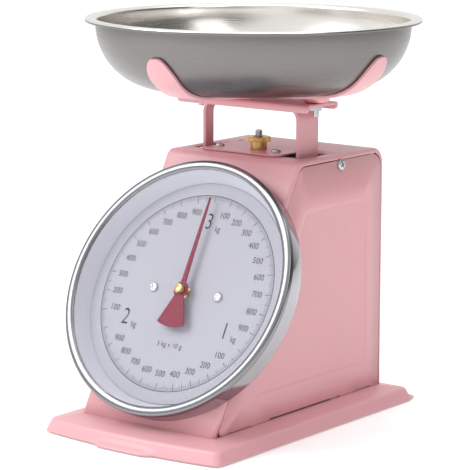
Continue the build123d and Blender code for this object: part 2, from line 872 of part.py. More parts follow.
pointer_top = pointer_height + pointer_sheet
with BuildPart() as pointer_nut:
    with BuildSketch(dial_plane.offset(pointer_top)):
        Circle(pointer_nut_radius)
    extrude(amount=pointer_nut_height)
    crown = pointer_nut.faces().sort_by(Axis(dial_plane.origin, dial_plane.z_dir))[-1]
    fillet(crown.edges(), 0.8)
    with BuildSketch(dial_plane.offset(pointer_top)):
        Circle(shaft_radius)
    extrude(amount=shaft_front - pointer_top, mode=Mode.SUBTRACT)
pointer_nut.part.label = "pointer_nut"

# ==== Yoke, channel and cradle ============================================================
def arch(half_width, top, bottom, bend):
    """A filled arch outline with rounded shoulders."""
    with BuildSketch() as outline:
        with BuildLine():
            left = [(-half_width, bottom), (-half_width, top)]
            right = [(half_width, top), (half_width, bottom)]
            Polyline(*left, *right, close=True)
        make_face()
        fillet(outline.vertices().sort_by(Axis.Y)[-2:], bend)
    return outline.sketch


pin_heights = [z + lever_rise for z in lever_pivot_z]
bar_rivet_z = bar_top + (bar_tab_height - bar_sheet) / 2
yoke_rear = yoke_front + yoke_right_width
yoke_left_rear = yoke_front + yoke_left_inset + yoke_left_width
with BuildPart() as yoke:
    with BuildSketch(upright(yoke_front)):
        add(arch(yoke_half_width, yoke_top, yoke_bottom, yoke_bend))
        hollow = arch(yoke_inner, yoke_top - yoke_sheet, yoke_bottom - 1, yoke_bend - yoke_sheet)
        add(hollow, mode=Mode.SUBTRACT)
    extrude(amount=-yoke_right_width)
    with BuildSketch(Plane.XY.offset(yoke_bottom)):
        with Locations((-yoke_half_width, (yoke_left_rear + yoke_rear) / 2)):
            Rectangle(2 * yoke_bend, yoke_rear - yoke_left_rear)
        with Locations((-yoke_half_width, yoke_front + yoke_left_inset / 2)):
            Rectangle(2 * yoke_bend, yoke_left_inset)
    extrude(amount=yoke_top - yoke_bend - yoke_bottom, mode=Mode.SUBTRACT)
    with BuildSketch(Plane.YZ):
        with Locations(*[(pin_y, z) for z in pin_heights]):
            Circle(pin_radius)
        with Locations((pin_y, bar_rivet_z)):
            Circle(rivet_radius)
    extrude(amount=housing_width, both=True, mode=Mode.SUBTRACT)
    with BuildSketch(Plane.XY.offset(yoke_top)):
        with Locations((-yoke_rivet_x, channel_middle_y), (yoke_rivet_x, channel_middle_y)):
            Circle(rivet_radius)
    extrude(amount=-2 * yoke_sheet, mode=Mode.SUBTRACT)
yoke.part.label = "yoke"

with BuildPart() as yoke_pins:
    for side in (-1, 1):
        for z in pin_heights:
            root = (side * yoke_inner, pin_y, z)
            with BuildSketch(Plane(origin=root, x_dir=(0, 1, 0), z_dir=(side, 0, 0))):
                Circle(pin_radius)
            extrude(amount=lever_arm_x + lever_sheet + seat_gap - yoke_inner)
            head_x = side * (lever_arm_x + lever_sheet + seat_gap)
            with BuildSketch(Plane(origin=(head_x, pin_y, z), x_dir=(0, 1, 0), z_dir=(side, 0, 0))):
                Circle(pin_head_radius)
            extrude(amount=pin_head_height)
yoke_pins.part.label = "yoke_pins"

channel_bottom = channel_top - channel_depth
with BuildPart() as carrier_channel:
    with BuildSketch(Plane.XY.offset(channel_bottom)):
        with Locations((0, channel_middle_y)):
            Rectangle(2 * channel_half_length, channel_width)
    extrude(amount=channel_depth)
    fillet(carrier_channel.edges().filter_by(Axis.X).group_by(Axis.Z)[-1], channel_sheet * 0.9)
    ends = carrier_channel.edges().filter_by(Axis.Y).group_by(Axis.Z)[0]
    fillet(ends, channel_corner)
    with BuildSketch(Plane.XY.offset(yoke_top)):
        with Locations((0, channel_middle_y)):
            Rectangle(2 * channel_half_length + 1, channel_width - 2 * channel_sheet)
    extrude(amount=-channel_depth, mode=Mode.SUBTRACT)
    with BuildSketch(Plane.XY.offset(channel_top)):
        with Locations(*cradle_screw_places):
            Circle(cradle_screw_radius)
        with Locations((-yoke_rivet_x, channel_middle_y), (yoke_rivet_x, channel_middle_y)):
            Circle(rivet_radius)
    extrude(amount=-2 * channel_sheet, mode=Mode.SUBTRACT)
carrier_channel.part.label = "carrier_channel"

with BuildPart() as yoke_rivets:
    for x in (-yoke_rivet_x, yoke_rivet_x):
        seat = Plane(origin=(x, channel_middle_y, yoke_top - yoke_sheet), x_dir=(1, 0, 0), z_dir=(0, 0, -1))
        add(rivet(seat, yoke_sheet + channel_sheet))
yoke_rivets.part.label = "yoke_rivets"


def cradle_section(outer, inner, top):
    """The half section between two curves that share a centre, cut level at the top."""
    flat = bowl_radius - bowl_curve
    centre_z = bowl_bottom + bowl_curve
    with BuildSketch() as section:
        with BuildLine():
            outer_x = cradle_x + flat + math.sqrt(outer**2 - (centre_z - top) ** 2)
            inner_x = cradle_x + flat + math.sqrt(inner**2 - (centre_z - top) ** 2)
            Line((cradle_x, centre_z - outer), (cradle_x + flat, centre_z - outer))
            RadiusArc((cradle_x + flat, centre_z - outer), (outer_x, top), -outer)
            Line((outer_x, top), (inner_x, top))
            RadiusArc((inner_x, top), (cradle_x + flat, centre_z - inner), inner)
            Line((cradle_x + flat, centre_z - inner), (cradle_x, centre_z - inner))
            Line((cradle_x, centre_z - inner), (cradle_x, centre_z - outer))
        make_face()
    return section.sketch


cradle_inner = bowl_curve + seat_gap
cradle_rim = bowl_bottom + bowl_curve - cradle_rim_drop
with BuildPart() as cradle:
    with BuildSketch(upright(cradle_y)):
        add(cradle_section(cradle_inner + cradle_sheet, cradle_inner, cradle_rim))
    revolve(axis=Axis((cradle_x, cradle_y, 0), (0, 0, 1)))
    with BuildSketch(Plane.XY.offset(cradle_bottom)) as cross:
        with Locations((cradle_x, cradle_y)):
            Circle(cradle_reach)
        with Locations((cradle_x, cradle_y)):
            with GridLocations(2 * cradle_scoop_place, 2 * cradle_scoop_place, 2, 2):
                Circle(cradle_scoop_radius, mode=Mode.SUBTRACT)
        tips = cross.vertices().filter_by(
            lambda v: Vector(v.X - cradle_x, v.Y - cradle_y).length > cradle_reach - 1
        )
        fillet(tips, cradle_tip_round)
    extrude(amount=bowl_curve, mode=Mode.INTERSECT)
    for place in cradle_screw_places:
        with BuildSketch(Plane.XY.offset(channel_top)):
            with Locations(place):
                Circle(cradle_cup_foot)
        with BuildSketch(Plane.XY.offset(cradle_bottom)):
            with Locations(place):
                Circle(cradle_cup_radius)
        loft()
    for place in cradle_screw_places:
        with BuildSketch(Plane.XY.offset(cradle_screw_seat)):
            with Locations(place):
                Circle(cradle_cup_foot - cradle_cup_wall)
        with BuildSketch(Plane.XY.offset(cradle_top)):
            with Locations(place):
                Circle(cradle_cup_radius - cradle_cup_wall)
        loft(mode=Mode.SUBTRACT)
    with BuildSketch(Plane.XY.offset(channel_top)):
        with Locations(*cradle_screw_places):
            Circle(cradle_screw_radius)
    extrude(amount=cradle_sheet, mode=Mode.SUBTRACT)
cradle.part.label = "cradle"

with BuildPart() as cradle_screws:
    for x, y in cradle_screw_places:
        seat = Plane(origin=(x, y, cradle_screw_seat), x_dir=(1, 0, 0), z_dir=(0, 0, 1))
        shank = cradle_screw_seat - cradle_screw_end
        add(pan_screw(seat, cradle_screw_head, cradle_screw_height, cradle_screw_radius, shank))
cradle_screws.part.label = "cradle_screws"

with BuildPart() as cradle_nuts:
    for x, y in cradle_screw_places:
        seat = Plane(origin=(x, y, yoke_top - cradle_nut_height), x_dir=(1, 0, 0), z_dir=(0, 0, 1))
        add(hex_nut(seat, cradle_nut_across, cradle_nut_height, cradle_screw_radius))
cradle_nuts.part.label = "cradle_nuts"

with BuildPart() as carriage_bar:
    with BuildSketch(Plane.XY.offset(bar_bottom)):
        with Locations((0, mechanism_y)):
            Rectangle(2 * yoke_inner, bar_width)
    extrude(amount=bar_sheet)
    with BuildSketch(Plane.XY.offset(bar_bottom)):
        tab_middle = yoke_inner - bar_tab_sheet / 2
        with Locations((tab_middle, mechanism_y), (-tab_middle, mechanism_y)):
            Rectangle(bar_tab_sheet, bar_width)
    extrude(amount=bar_tab_height)
    with BuildSketch(Plane.YZ):
        with Locations((pin_y, bar_rivet_z)):
            Circle(rivet_radius)
    extrude(amount=housing_width, both=True, mode=Mode.SUBTRACT)
    with BuildSketch(Plane.XY.offset(bar_bottom)):
        with Locations((rack_back + bar_width * 0.6, mechanism_y)):
            Circle(rivet_radius)
        with Locations((-spring_x, mechanism_y), (spring_x, mechanism_y)):
            Circle(rivet_radius)
    extrude(amount=bar_sheet, mode=Mode.SUBTRACT)
carriage_bar.part.label = "carriage_bar"

with BuildPart() as carriage_rivets:
    for side in (-1, 1):
        tab_inside = side * (yoke_inner - bar_tab_sheet)
        seat = Plane(origin=(tab_inside, pin_y, bar_rivet_z), x_dir=(0, 1, 0), z_dir=(-side, 0, 0))
        add(rivet(seat, bar_tab_sheet + yoke_sheet))
    arm_seat = Plane(
        origin=(rack_back + bar_width * 0.6, mechanism_y, bar_top + arm_sheet),
        x_dir=(1, 0, 0),
        z_dir=(0, 0, 1),
    )
    add(rivet(arm_seat, arm_sheet + bar_sheet))
carriage_rivets.part.label = "carriage_rivets"


# ==== Levers ==============================================================================
def lever(pivot_z):
    """A folded lever: two arms on the axle, joined by a strap, slotted for the yoke pins."""
    reach = (0, -math.cos(lever_rest), math.sin(lever_rest))
    play = lever_length * (1 - math.cos(lever_rest))
    with BuildPart() as folded:
        for x in (-lever_arm_x - lever_sheet, lever_arm_x):
            with BuildSketch(Plane(origin=(x, lever_pivot_y, pivot_z), x_dir=reach, z_dir=(1, 0, 0))):
                with Locations((lever_length / 2, 0)):
                    SlotCenterToCenter(lever_length, lever_arm_width)
                Circle(pin_radius + fit, mode=Mode.SUBTRACT)
                with Locations((lever_length - play / 2, 0)):
                    SlotOverall(slot_length, slot_height, mode=Mode.SUBTRACT)
            extrude(amount=lever_sheet)
        with BuildSketch(Plane(origin=(-lever_arm_x, lever_pivot_y, pivot_z), x_dir=reach, z_dir=(1, 0, 0))):
            with Locations((lever_strap_place, lever_arm_width / 2 - lever_sheet / 2)):
                Rectangle(lever_strap_width, lever_sheet)
        extrude(amount=2 * lever_arm_x)
    return folded.part


lower_lever = lever(lever_pivot_z[0])
lower_lever.label = "lower_lever"
upper_lever = lever(lever_pivot_z[1])
upper_lever.label = "upper_lever"

# ==== Zero adjuster and springs ===========================================================
hanger_top = hanger_bottom + hanger_sheet
with BuildPart() as spring_hanger:
    with BuildSketch(Plane.XY.offset(hanger_bottom)):
        with Locations((0, mechanism_y)):
            RectangleRounded(2 * hanger_half_length, hanger_width, hanger_width * 0.45)
            Circle(stud_radius, mode=Mode.SUBTRACT)
            with Locations((-spring_x, 0), (spring_x, 0)):
                Circle(rivet_radius, mode=Mode.SUBTRACT)
    extrude(amount=hanger_sheet)
spring_hanger.part.label = "spring_hanger"

with BuildPart() as zero_stud:
    with BuildSketch(Plane.XY.offset(hanger_bottom)):
        with Locations((0, mechanism_y)):
            Circle(stud_radius)
    extrude(amount=stud_top - hanger_bottom)
    chamfer(zero_stud.edges().group_by(Axis.Z)[-1], 0.5)
    with BuildSketch(Plane.XY.offset(hanger_bottom)):
        with Locations((0, mechanism_y)):
            Circle(stud_head_radius)
    extrude(amount=-stud_head_height)
zero_stud.part.label = "zero_stud"

nut_bottom = plate_top + fit
with BuildPart() as zero_nut:
    with BuildSketch(Plane.XY.offset(nut_bottom)):
        with Locations((0, mechanism_y)):
            Circle(zero_nut_neck)
    extrude(amount=zero_nut_neck_height)
    with BuildSketch(Plane.XY.offset(nut_bottom + zero_nut_neck_height)):
        with Locations((0, mechanism_y)):
            Circle(zero_nut_flange)
            with PolarLocations(zero_nut_flange, knurl_count):
                Circle(knurl_depth, mode=Mode.SUBTRACT)
    extrude(amount=zero_nut_flange_height)
    with BuildSketch(Plane.XY.offset(nut_bottom)):
        with Locations((0, mechanism_y)):
            Circle(stud_radius + fit)
    extrude(amount=zero_nut_neck_height + zero_nut_flange_height, mode=Mode.SUBTRACT)
zero_nut.part.label = "zero_nut"


def spring(x):
    """The outer shape of an extension spring, hollow along its length."""
    with BuildPart() as coil:
        with BuildSketch(Plane.XY.offset(bar_top + seat_gap)):
            with Locations((x, mechanism_y)):
                Circle(spring_radius)
                Circle(spring_radius - spring_wall, mode=Mode.SUBTRACT)
        extrude(amount=hanger_bottom - zero_clearance - bar_top - seat_gap)
    return coil.part


spring_left = spring(-spring_x)
spring_left.label = "spring_left"
spring_right = spring(spring_x)
spring_right.label = "spring_right"

# ==== Bowl ================================================================================
with BuildPart() as bowl:
    with BuildSketch(Plane(origin=(cradle_x, cradle_y, 0), x_dir=(1, 0, 0), z_dir=(0, -1, 0))):
        flat = bowl_radius - bowl_curve
        spring_line = bowl_bottom + bowl_curve
        inner_curve = bowl_curve - bowl_wall
        with BuildLine():
            Line((0, bowl_bottom), (flat, bowl_bottom))
            RadiusArc((flat, bowl_bottom), (bowl_radius, spring_line), -bowl_curve)
            Line((bowl_radius, spring_line), (bowl_radius, rim_top - bowl_wall))
            Line((bowl_radius, rim_top - bowl_wall), (rim_radius - bowl_wall, rim_top - bowl_wall))
            Line((rim_radius - bowl_wall, rim_top - bowl_wall), (rim_radius - bowl_wall, rim_top - rim_roll))
            Line((rim_radius - bowl_wall, rim_top - rim_roll), (rim_radius, rim_top - rim_roll))
            Line((rim_radius, rim_top - rim_roll), (rim_radius, rim_top))
            Line((rim_radius, rim_top), (bowl_radius - bowl_wall, rim_top))
            Line((bowl_radius - bowl_wall, rim_top), (bowl_radius - bowl_wall, spring_line))
            RadiusArc((bowl_radius - bowl_wall, spring_line), (flat, bowl_bottom + bowl_wall), inner_curve)
            Line((flat, bowl_bottom + bowl_wall), (0, bowl_bottom + bowl_wall))
            Line((0, bowl_bottom + bowl_wall), (0, bowl_bottom))
        make_face()
    revolve(axis=Axis((cradle_x, cradle_y, 0), (0, 0, 1)))
bowl.part.label = "bowl"

# ==== Output ==============================================================================
pieces = [
    base_plate.part, feet.part, base_screws.part, wrap_cover.part, side_panel_left, side_panel_right,
    side_screws.part, top_plate.part, top_plate_screws.part, chassis.part, lever_axles.part,
    dial_drum.part, dial_face.part, dial_wall_ring.part, lens.part, bezel.part, dial_screws.part,
    dial_nuts.part, gear_bracket.part, shaft_bushes.part, pointer_shaft.part, pinion.part,
    pointer.part, pointer_nut.part, rack.part, rack_arm.part, yoke.part, yoke_pins.part,
    yoke_rivets.part, carrier_channel.part, cradle.part, cradle_screws.part, cradle_nuts.part,
    carriage_bar.part, carriage_rivets.part, lower_lever, upper_lever, spring_hanger.part,
    zero_stud.part, zero_nut.part, spring_left, spring_right, bowl.part,
]
os.makedirs("parts", exist_ok=True)
for piece in pieces:
    export_step(piece, f"parts/{piece.label}.step")
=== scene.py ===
# %% [markdown]
# # A 3 kg kitchen scale
# The scale is pressed from painted sheet steel: a tray, a folded housing, a yoke that carries a loose
# steel bowl, and a glazed dial in a chrome drum. The CAD model gives every place and size. Here each
# visible piece is made again with the soft bends, thin edges and finishes of the real one.

# %% Load the CAD frame
import math

import bmesh
import bpy
from mathutils import Matrix, Vector


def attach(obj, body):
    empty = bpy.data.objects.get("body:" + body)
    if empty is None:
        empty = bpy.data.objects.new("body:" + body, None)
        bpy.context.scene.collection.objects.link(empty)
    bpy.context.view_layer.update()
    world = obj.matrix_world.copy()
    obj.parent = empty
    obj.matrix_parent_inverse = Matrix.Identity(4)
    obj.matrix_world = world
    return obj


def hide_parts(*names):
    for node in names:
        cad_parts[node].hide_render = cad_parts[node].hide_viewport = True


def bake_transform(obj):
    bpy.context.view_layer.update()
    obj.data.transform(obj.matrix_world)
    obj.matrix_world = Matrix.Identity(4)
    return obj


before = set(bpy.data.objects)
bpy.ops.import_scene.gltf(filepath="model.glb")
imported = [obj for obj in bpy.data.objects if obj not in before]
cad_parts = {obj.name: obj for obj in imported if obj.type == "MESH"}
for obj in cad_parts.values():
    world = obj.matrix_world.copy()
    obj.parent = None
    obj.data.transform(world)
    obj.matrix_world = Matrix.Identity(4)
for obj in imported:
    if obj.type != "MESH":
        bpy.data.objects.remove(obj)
scene = bpy.context.scene
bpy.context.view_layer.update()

# %% [markdown]
# ## Sizes
# Everything is drawn in millimetres, as on a maker's drawing, and turned into metres when a piece is
# finished. The housing leans back at the front by 28.5 degrees, and the dial leans with it.

# %% Sizes that several pieces share
sheet = 1.2
half = 53.5
base_top = 12.0
housing_top = 173.2
housing_rear = 85.7
brow_y = -9.8
lean = math.radians(28.5)
plate_top = housing_top + sheet
yoke_half = 40.3
yoke_front = 7.9
mechanism_y = 18.9
bowl_x = -1.9
bowl_y = 15.1
channel_top = 208.4
bowl_bottom = 215.3
bowl_radius = 102.2
bowl_curve = 41.5


def front_y(height):
    """Where the sloping front stands at a height."""
    return brow_y - (housing_top - height) * math.tan(lean)


dial_z = 90.8
dial_lift = 2.6
shaft_bore = 2.75
dial_y = front_y(dial_z) - dial_lift / math.cos(lean)
dial_place = Matrix((
    (1, 0, 0, 0),
    (0, math.sin(lean), -math.cos(lean), dial_y),
    (0, math.cos(lean), math.sin(lean), dial_z),
    (0, 0, 0, 1),
))
print("the dial's centre stands at", round(dial_y, 2), dial_z)

# %% [markdown]
# ## Finishes
# Sprayed enamel is never flat: it has a faint orange peel, broad changes of tone and a soft shine.
# Steel is brushed, zinc is cloudy, brass shows its turning marks. Each finish below is a noise that
# moves colour, roughness and height a little, measured in the piece's own coordinates, so nothing
# swims when a piece moves.

# %% One recipe for every finish
def finish(name, colour, roughness, metallic=0.0, coat=0.0, grain=(400, 400, 400), height=0.02,
           tone=0.06, rough_play=0.08):
    """A finish with a fine grain for height and roughness and a broad cloud for tone."""
    material = bpy.data.materials.new(name)
    material.use_nodes = True
    nodes = material.node_tree.nodes
    links = material.node_tree.links
    surface = nodes["Principled BSDF"]
    surface.inputs["Metallic"].default_value = metallic
    surface.inputs["Coat Weight"].default_value = coat
    surface.inputs["Coat Roughness"].default_value = 0.12
    where = nodes.new("ShaderNodeTexCoord")
    stretch = nodes.new("ShaderNodeMapping")
    stretch.inputs["Scale"].default_value = grain
    links.new(where.outputs["Object"], stretch.inputs["Vector"])
    fine = nodes.new("ShaderNodeTexNoise")
    fine.inputs["Scale"].default_value = 1.0
    fine.inputs["Detail"].default_value = 3.0
    links.new(stretch.outputs["Vector"], fine.inputs["Vector"])
    cloud = nodes.new("ShaderNodeTexNoise")
    cloud.inputs["Scale"].default_value = 18.0
    cloud.inputs["Detail"].default_value = 4.0
    links.new(where.outputs["Object"], cloud.inputs["Vector"])
    tint = nodes.new("ShaderNodeMix")
    tint.data_type = "RGBA"
    tint.inputs["A"].default_value = [c * (1 - tone) for c in colour] + [1]
    tint.inputs["B"].default_value = [min(1, c * (1 + tone)) for c in colour] + [1]
    links.new(cloud.outputs["Fac"], tint.inputs["Factor"])
    links.new(tint.outputs["Result"], surface.inputs["Base Color"])
    shine = nodes.new("ShaderNodeMapRange")
    shine.inputs["From Min"].default_value = 0.3
    shine.inputs["From Max"].default_value = 0.7
    shine.inputs["To Min"].default_value = roughness - rough_play / 2
    shine.inputs["To Max"].default_value = roughness + rough_play / 2
    links.new(fine.outputs["Fac"], shine.inputs["Value"])
    links.new(shine.outputs["Result"], surface.inputs["Roughness"])
    relief = nodes.new("ShaderNodeBump")
    relief.inputs["Strength"].default_value = 1.0
    relief.inputs["Distance"].default_value = height / 1000
    links.new(fine.outputs["Fac"], relief.inputs["Height"])
    links.new(relief.outputs["Normal"], surface.inputs["Normal"])
    return material


pink_enamel = finish("pink_enamel", (0.745, 0.382, 0.414), 0.4, coat=0.15, grain=(700, 700, 700),
                     tone=0.025, height=0.012)
brushed = (25, 25, 1200)
# The bowl's two steels are one steel: the outside colour is painted darker as painted shade, the inside
# colour painted lighter as painted light.
bowl_steel = finish("bowl_steel", (0.205, 0.195, 0.19), 0.3, 1.0, grain=brushed, height=0.002, tone=0.05)
bowl_inside_painted_light = finish("bowl_inside_painted_light", (0.86, 0.83, 0.79), 0.24, 1.0, grain=brushed, height=0.002, tone=0.04)
plated = (90, 90, 90)
chrome = finish("chrome", (0.42, 0.42, 0.44), 0.09, 1.0, grain=plated, height=0.002, tone=0.02,
                rough_play=0.05)
bezel_chrome = finish("bezel_chrome", (0.26, 0.26, 0.275), 0.2, 1.0, grain=plated, height=0.002,
                      tone=0.02, rough_play=0.05)
zinc = finish("zinc", (0.55, 0.56, 0.57), 0.32, 1.0, grain=(500, 500, 500), height=0.01, tone=0.12,
              rough_play=0.15)
brass = finish("brass", (0.62, 0.42, 0.16), 0.3, 1.0, grain=(300, 300, 2500), height=0.01, tone=0.1,
               rough_play=0.12)
matt = (900, 900, 900)
raspberry = finish("raspberry", (0.22, 0.012, 0.04), 0.42, grain=matt)
dial_white = finish("dial_white", (0.40, 0.40, 0.465), 0.5, grain=matt, tone=0.012, height=0.004)
wall_white = finish("wall_white", (0.61, 0.61, 0.69), 0.45, grain=(300, 300, 300), tone=0.02, height=0.008)
ink = finish("ink", (0.012, 0.012, 0.016), 0.6, grain=matt, tone=0.15, height=0.002)
rubber = finish("rubber", (0.03, 0.03, 0.03), 0.75, grain=(800, 800, 800), tone=0.2, height=0.03)
clear = finish("clear", (0.9, 0.93, 1.0), 0.04, grain=(40, 40, 40), tone=0.01, height=0.002, rough_play=0.02)
clear.node_tree.nodes["Principled BSDF"].inputs["Alpha"].default_value = 0.015
raspberry.node_tree.nodes["Principled BSDF"].inputs["Specular IOR Level"].default_value = 0.2
print("finishes:", len(bpy.data.materials))

# %% [markdown]
# ## Small tools
# Most pieces are sheet metal. A sheet is drawn as a bare surface and given its thickness afterwards,
# the way a press works: first the flat shape, then the bends, and the edges stay thin and even.

# %% Tools for sheet metal and turned pieces
def give_thickness(piece, depth, inwards=True):
    """Thickens a bare surface by a depth in millimetres, against its normals or along them."""
    skin = piece.modifiers.new("thickness", "SOLIDIFY")
    skin.thickness = depth / 1000
    skin.offset = -1.0 if inwards else 1.0
    return skin


def soften_edges(piece, width, angle):
    """Rounds the edges that turn by more than an angle in degrees, by a width in millimetres."""
    edge = piece.modifiers.new("soft edges", "BEVEL")
    edge.width = width / 1000
    edge.segments = 2
    edge.limit_method = "ANGLE"
    edge.angle_limit = math.radians(angle)
    return edge


def new_piece(name, shape, material, body, nodes=(), place=None, thick=0.0, bevel=0.0, angle=35):
    """Turns a shape drawn in millimetres into a piece that rides a body and stands for CAD nodes."""
    bmesh.ops.remove_doubles(shape, verts=shape.verts, dist=0.001)
    bmesh.ops.recalc_face_normals(shape, faces=shape.faces)
    if place is not None:
        bmesh.ops.transform(shape, matrix=place, verts=shape.verts)
    bmesh.ops.scale(shape, vec=(0.001, 0.001, 0.001), verts=shape.verts)
    mesh = bpy.data.meshes.new(name)
    shape.to_mesh(mesh)
    shape.free()
    mesh.materials.append(material)
    mesh.shade_smooth()
    mesh.set_sharp_from_angle(angle=math.radians(angle))
    piece = bpy.data.objects.new(name, mesh)
    scene.collection.objects.link(piece)
    if thick:
        give_thickness(piece, thick).use_even_offset = True
    if bevel:
        soften_edges(piece, bevel, 40).harden_normals = True
    if body:
        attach(piece, body)
    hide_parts(*nodes)
    print(name, len(mesh.polygons), "faces")
    return piece


def arc(centre, radius, start, end, steps):
    """Points on an arc, angles in degrees."""
    turns = [math.radians(start + (end - start) * n / steps) for n in range(steps + 1)]
    return [(centre[0] + radius * math.cos(t), centre[1] + radius * math.sin(t)) for t in turns]


def rounded(corners, radii, steps=8, closed=True):
    """A line through corners, each rounded with its own radius."""
    path = []
    count = len(corners)
    for n, (corner, radius) in enumerate(zip(corners, radii)):
        here = Vector(corner)
        if radius == 0 or (not closed and n in (0, count - 1)):
            path.append(tuple(here))
            continue
        before = (Vector(corners[n - 1]) - here).normalized()
        after = (Vector(corners[(n + 1) % count]) - here).normalized()
        spread = before.angle(after)
        reach = radius / math.tan(spread / 2)
        middle = here + (before + after).normalized() * radius / math.sin(spread / 2)
        first = here + before * reach - middle
        last = here + after * reach - middle
        sweep = first.angle_signed(last)
        for step in range(steps + 1):
            turned = first.copy()
            turned.rotate(Matrix.Rotation(-sweep * step / steps, 2))
            path.append(tuple(middle + turned))
    return path


def loop(shape, points):
    """A closed line of edges through 3-D points."""
    corners = [shape.verts.new(p) for p in points]
    return [shape.edges.new((corners[n - 1], corners[n])) for n in range(len(corners))]


def fill(shape, *edge_loops):
    """A flat sheet inside the first loop, with a hole for each further loop."""
    edges = [edge for edges in edge_loops for edge in edges]
    bmesh.ops.triangle_fill(shape, use_beauty=True, use_dissolve=False, edges=edges)


def rows(shape, lines, closed=False):
    """A skin of four-sided faces through lines with equal numbers of points."""
    grid = [[shape.verts.new(p) for p in line] for line in lines]
    for low, high in zip(grid, grid[1:]):
        count = len(low)
        for n in range(count if closed else count - 1):
            shape.faces.new([low[n], low[(n + 1) % count], high[(n + 1) % count], high[n]])
    return grid


def turned(shape, profile, steps=96, closed=True, place=None):
    """A profile of (radius, height) points turned about the upright axis, as on a lathe."""
    corners = [shape.verts.new((radius, 0, height)) for radius, height in profile]
    edges = [shape.edges.new(pair) for pair in zip(corners, corners[1:])]
    if closed:
        edges.append(shape.edges.new((corners[-1], corners[0])))
    before = set(shape.verts) - set(corners)
    bmesh.ops.spin(shape, geom=corners + edges, axis=(0, 0, 1), cent=(0, 0, 0), angle=math.tau, steps=steps,
                   use_merge=True)
    if place is not None:
        made = [v for v in shape.verts if v not in before]
        bmesh.ops.transform(shape, matrix=place, verts=made)


# %% [markdown]
# ## The tray
# The scale stands on a pressed steel tray. Its skirt leans in a little, bends over a soft crease and
# climbs gently to the flat middle. At the front and the rear the skirt is flared into a short lip.
# The tray is built as rings: one outline, drawn in and lifted step by step, so every bend stays soft.

# %% Press the tray
front_ledge, rear_ledge = 17.3, 13.7
base_half = 71.0
base_front = front_y(base_top) - front_ledge
base_rear = housing_rear + rear_ledge
front_bow = 6.0
tray_corner = 4.5
front_lip_half, front_flare = 21.0, 3.5
rear_lip_half, rear_flare = 70.8, 6.0


def fade(value):
    """A soft step from 0 to 1."""
    share = max(0.0, min(1.0, value))
    return share * share * (3 - 2 * share)


def tray_line(inset):
    """The four sides of the tray with rounded corners, drawn in by an inset."""
    side = base_half - inset
    front = base_front + inset
    rear = base_rear - inset
    corner = max(tray_corner - inset * 0.15, 2.5)
    return rounded([(-side, front), (side, front), (side, rear), (-side, rear)], [corner] * 4, 6)


tray_edge = [Vector(p) for p in tray_line(0)]
pieces_along = [max(1, round((tray_edge[n] - tray_edge[n - 1]).length / 4)) for n in range(len(tray_edge))]


def tray_outline(inset, height, flare):
    """The outline of the tray at a height, with its lips pushed out by a share."""
    side = base_half - inset
    front = base_front + inset
    rear = base_rear - inset
    line = [Vector(p) for p in tray_line(inset)]
    dense = []
    for n, pieces in enumerate(pieces_along):
        dense += [tuple(line[n - 1].lerp(line[n], (k + 1) / pieces)) for k in range(pieces)]
    shaped = []
    for x, y in dense:
        if y < front + tray_corner:
            bow = front_bow * (1 - (x / side) ** 2) * max(0.0, 1 - (y - front) / tray_corner)
            y -= bow + front_flare * flare * fade((front_lip_half + 3 - abs(x)) / 6)
        elif y > rear - tray_corner * 0.65:
            y += rear_flare * flare * fade((rear_lip_half - abs(x)) / 3)
        shaped.append((x, y, height))
    return shaped


tray_rings = [
    (0.0, 1.2, 1.0), (0.1, 1.9, 0.95), (0.5, 2.9, 0.6), (0.9, 3.9, 0.2), (1.3, 5.0, 0.0), (2.3, 7.6, 0.0),
    (2.75, 8.6, 0.0), (3.4, 9.25, 0.0), (4.4, 9.65, 0.0), (7.0, 10.1, 0.0), (12.0, 11.0, 0.0),
    (15.5, 11.6, 0.0), (17.2, 11.9, 0.0), (18.6, 12.0, 0.0),
]
tray = bmesh.new()
grid = rows(tray, [tray_outline(*ring) for ring in tray_rings], closed=True)
tray.faces.new(grid[-1])
new_piece("base_tray", tray, pink_enamel, "housing", ["base_plate"], thick=sheet, angle=50)

# %% [markdown]
# ## The housing cover
# One strip of sheet is folded over the front, the top and the rear, and its long edges turn the corner
# on to the sides. The strip is drawn as lines across the housing, one for each place along its side
# view. Extra lines beside the window and the shaft hole let both be cut cleanly.

# %% Fold the cover
brow_bend = 6.0
rear_bend = 10.0
side_round = 2.4
seam_inset = 2.7
view_steps = 8


def side_view(inset, brow, front_stops, top_stops):
    """The housing from the side, toe to brow to rear, with extra points where lines are asked for."""
    ceiling = housing_top - inset
    back = housing_rear - inset
    toe = (front_y(base_top) + inset / math.cos(lean), base_top)
    top = (front_y(ceiling) + inset / math.cos(lean), ceiling)
    path = rounded([toe, top, (back, ceiling), (back, base_top)], [0, brow, rear_bend, 0], view_steps,
                   closed=False)
    slope = [(toe[0] + (z - base_top) * math.tan(lean), z) for z in front_stops]
    brow_end = view_steps + 2
    return path[:1] + slope + path[1:brow_end] + [(y, ceiling) for y in top_stops] + path[brow_end:]


hole_reach = 5.0
front_stops = [30.0, 50.0, 70.0, 85.0, dial_z - hole_reach, dial_z + hole_reach, 110.0, 130.0, 150.0]
window_half = 44.5
window_front = 5.9
window_rear = 34.4
vent_x, vent_y = -38.0, 49.9
vent_reach = 3
top_stops = [window_front, 20.0, window_rear, vent_y - vent_reach, vent_y + vent_reach, 62.0]
cross_x = [-window_half, vent_x - vent_reach, vent_x + vent_reach, -hole_reach, hole_reach, 20.0, window_half]

bend_steps = 6
bend = [math.radians(90 * n / bend_steps) for n in range(bend_steps + 1)]
edge_rows = [(half, seam_inset)] + [
    (half - side_round * (1 - math.cos(a)), side_round * (1 - math.sin(a))) for a in bend
]
section = [(-x, d) for x, d in edge_rows] + [(x, 0.0) for x in cross_x] + list(reversed(edge_rows))
lines = []
for x, inset in section:
    view = side_view(inset, brow_bend + 2 * inset / seam_inset, front_stops, top_stops)
    lines.append([(x, y, z) for y, z in view])
cover = bmesh.new()
rows(cover, lines)


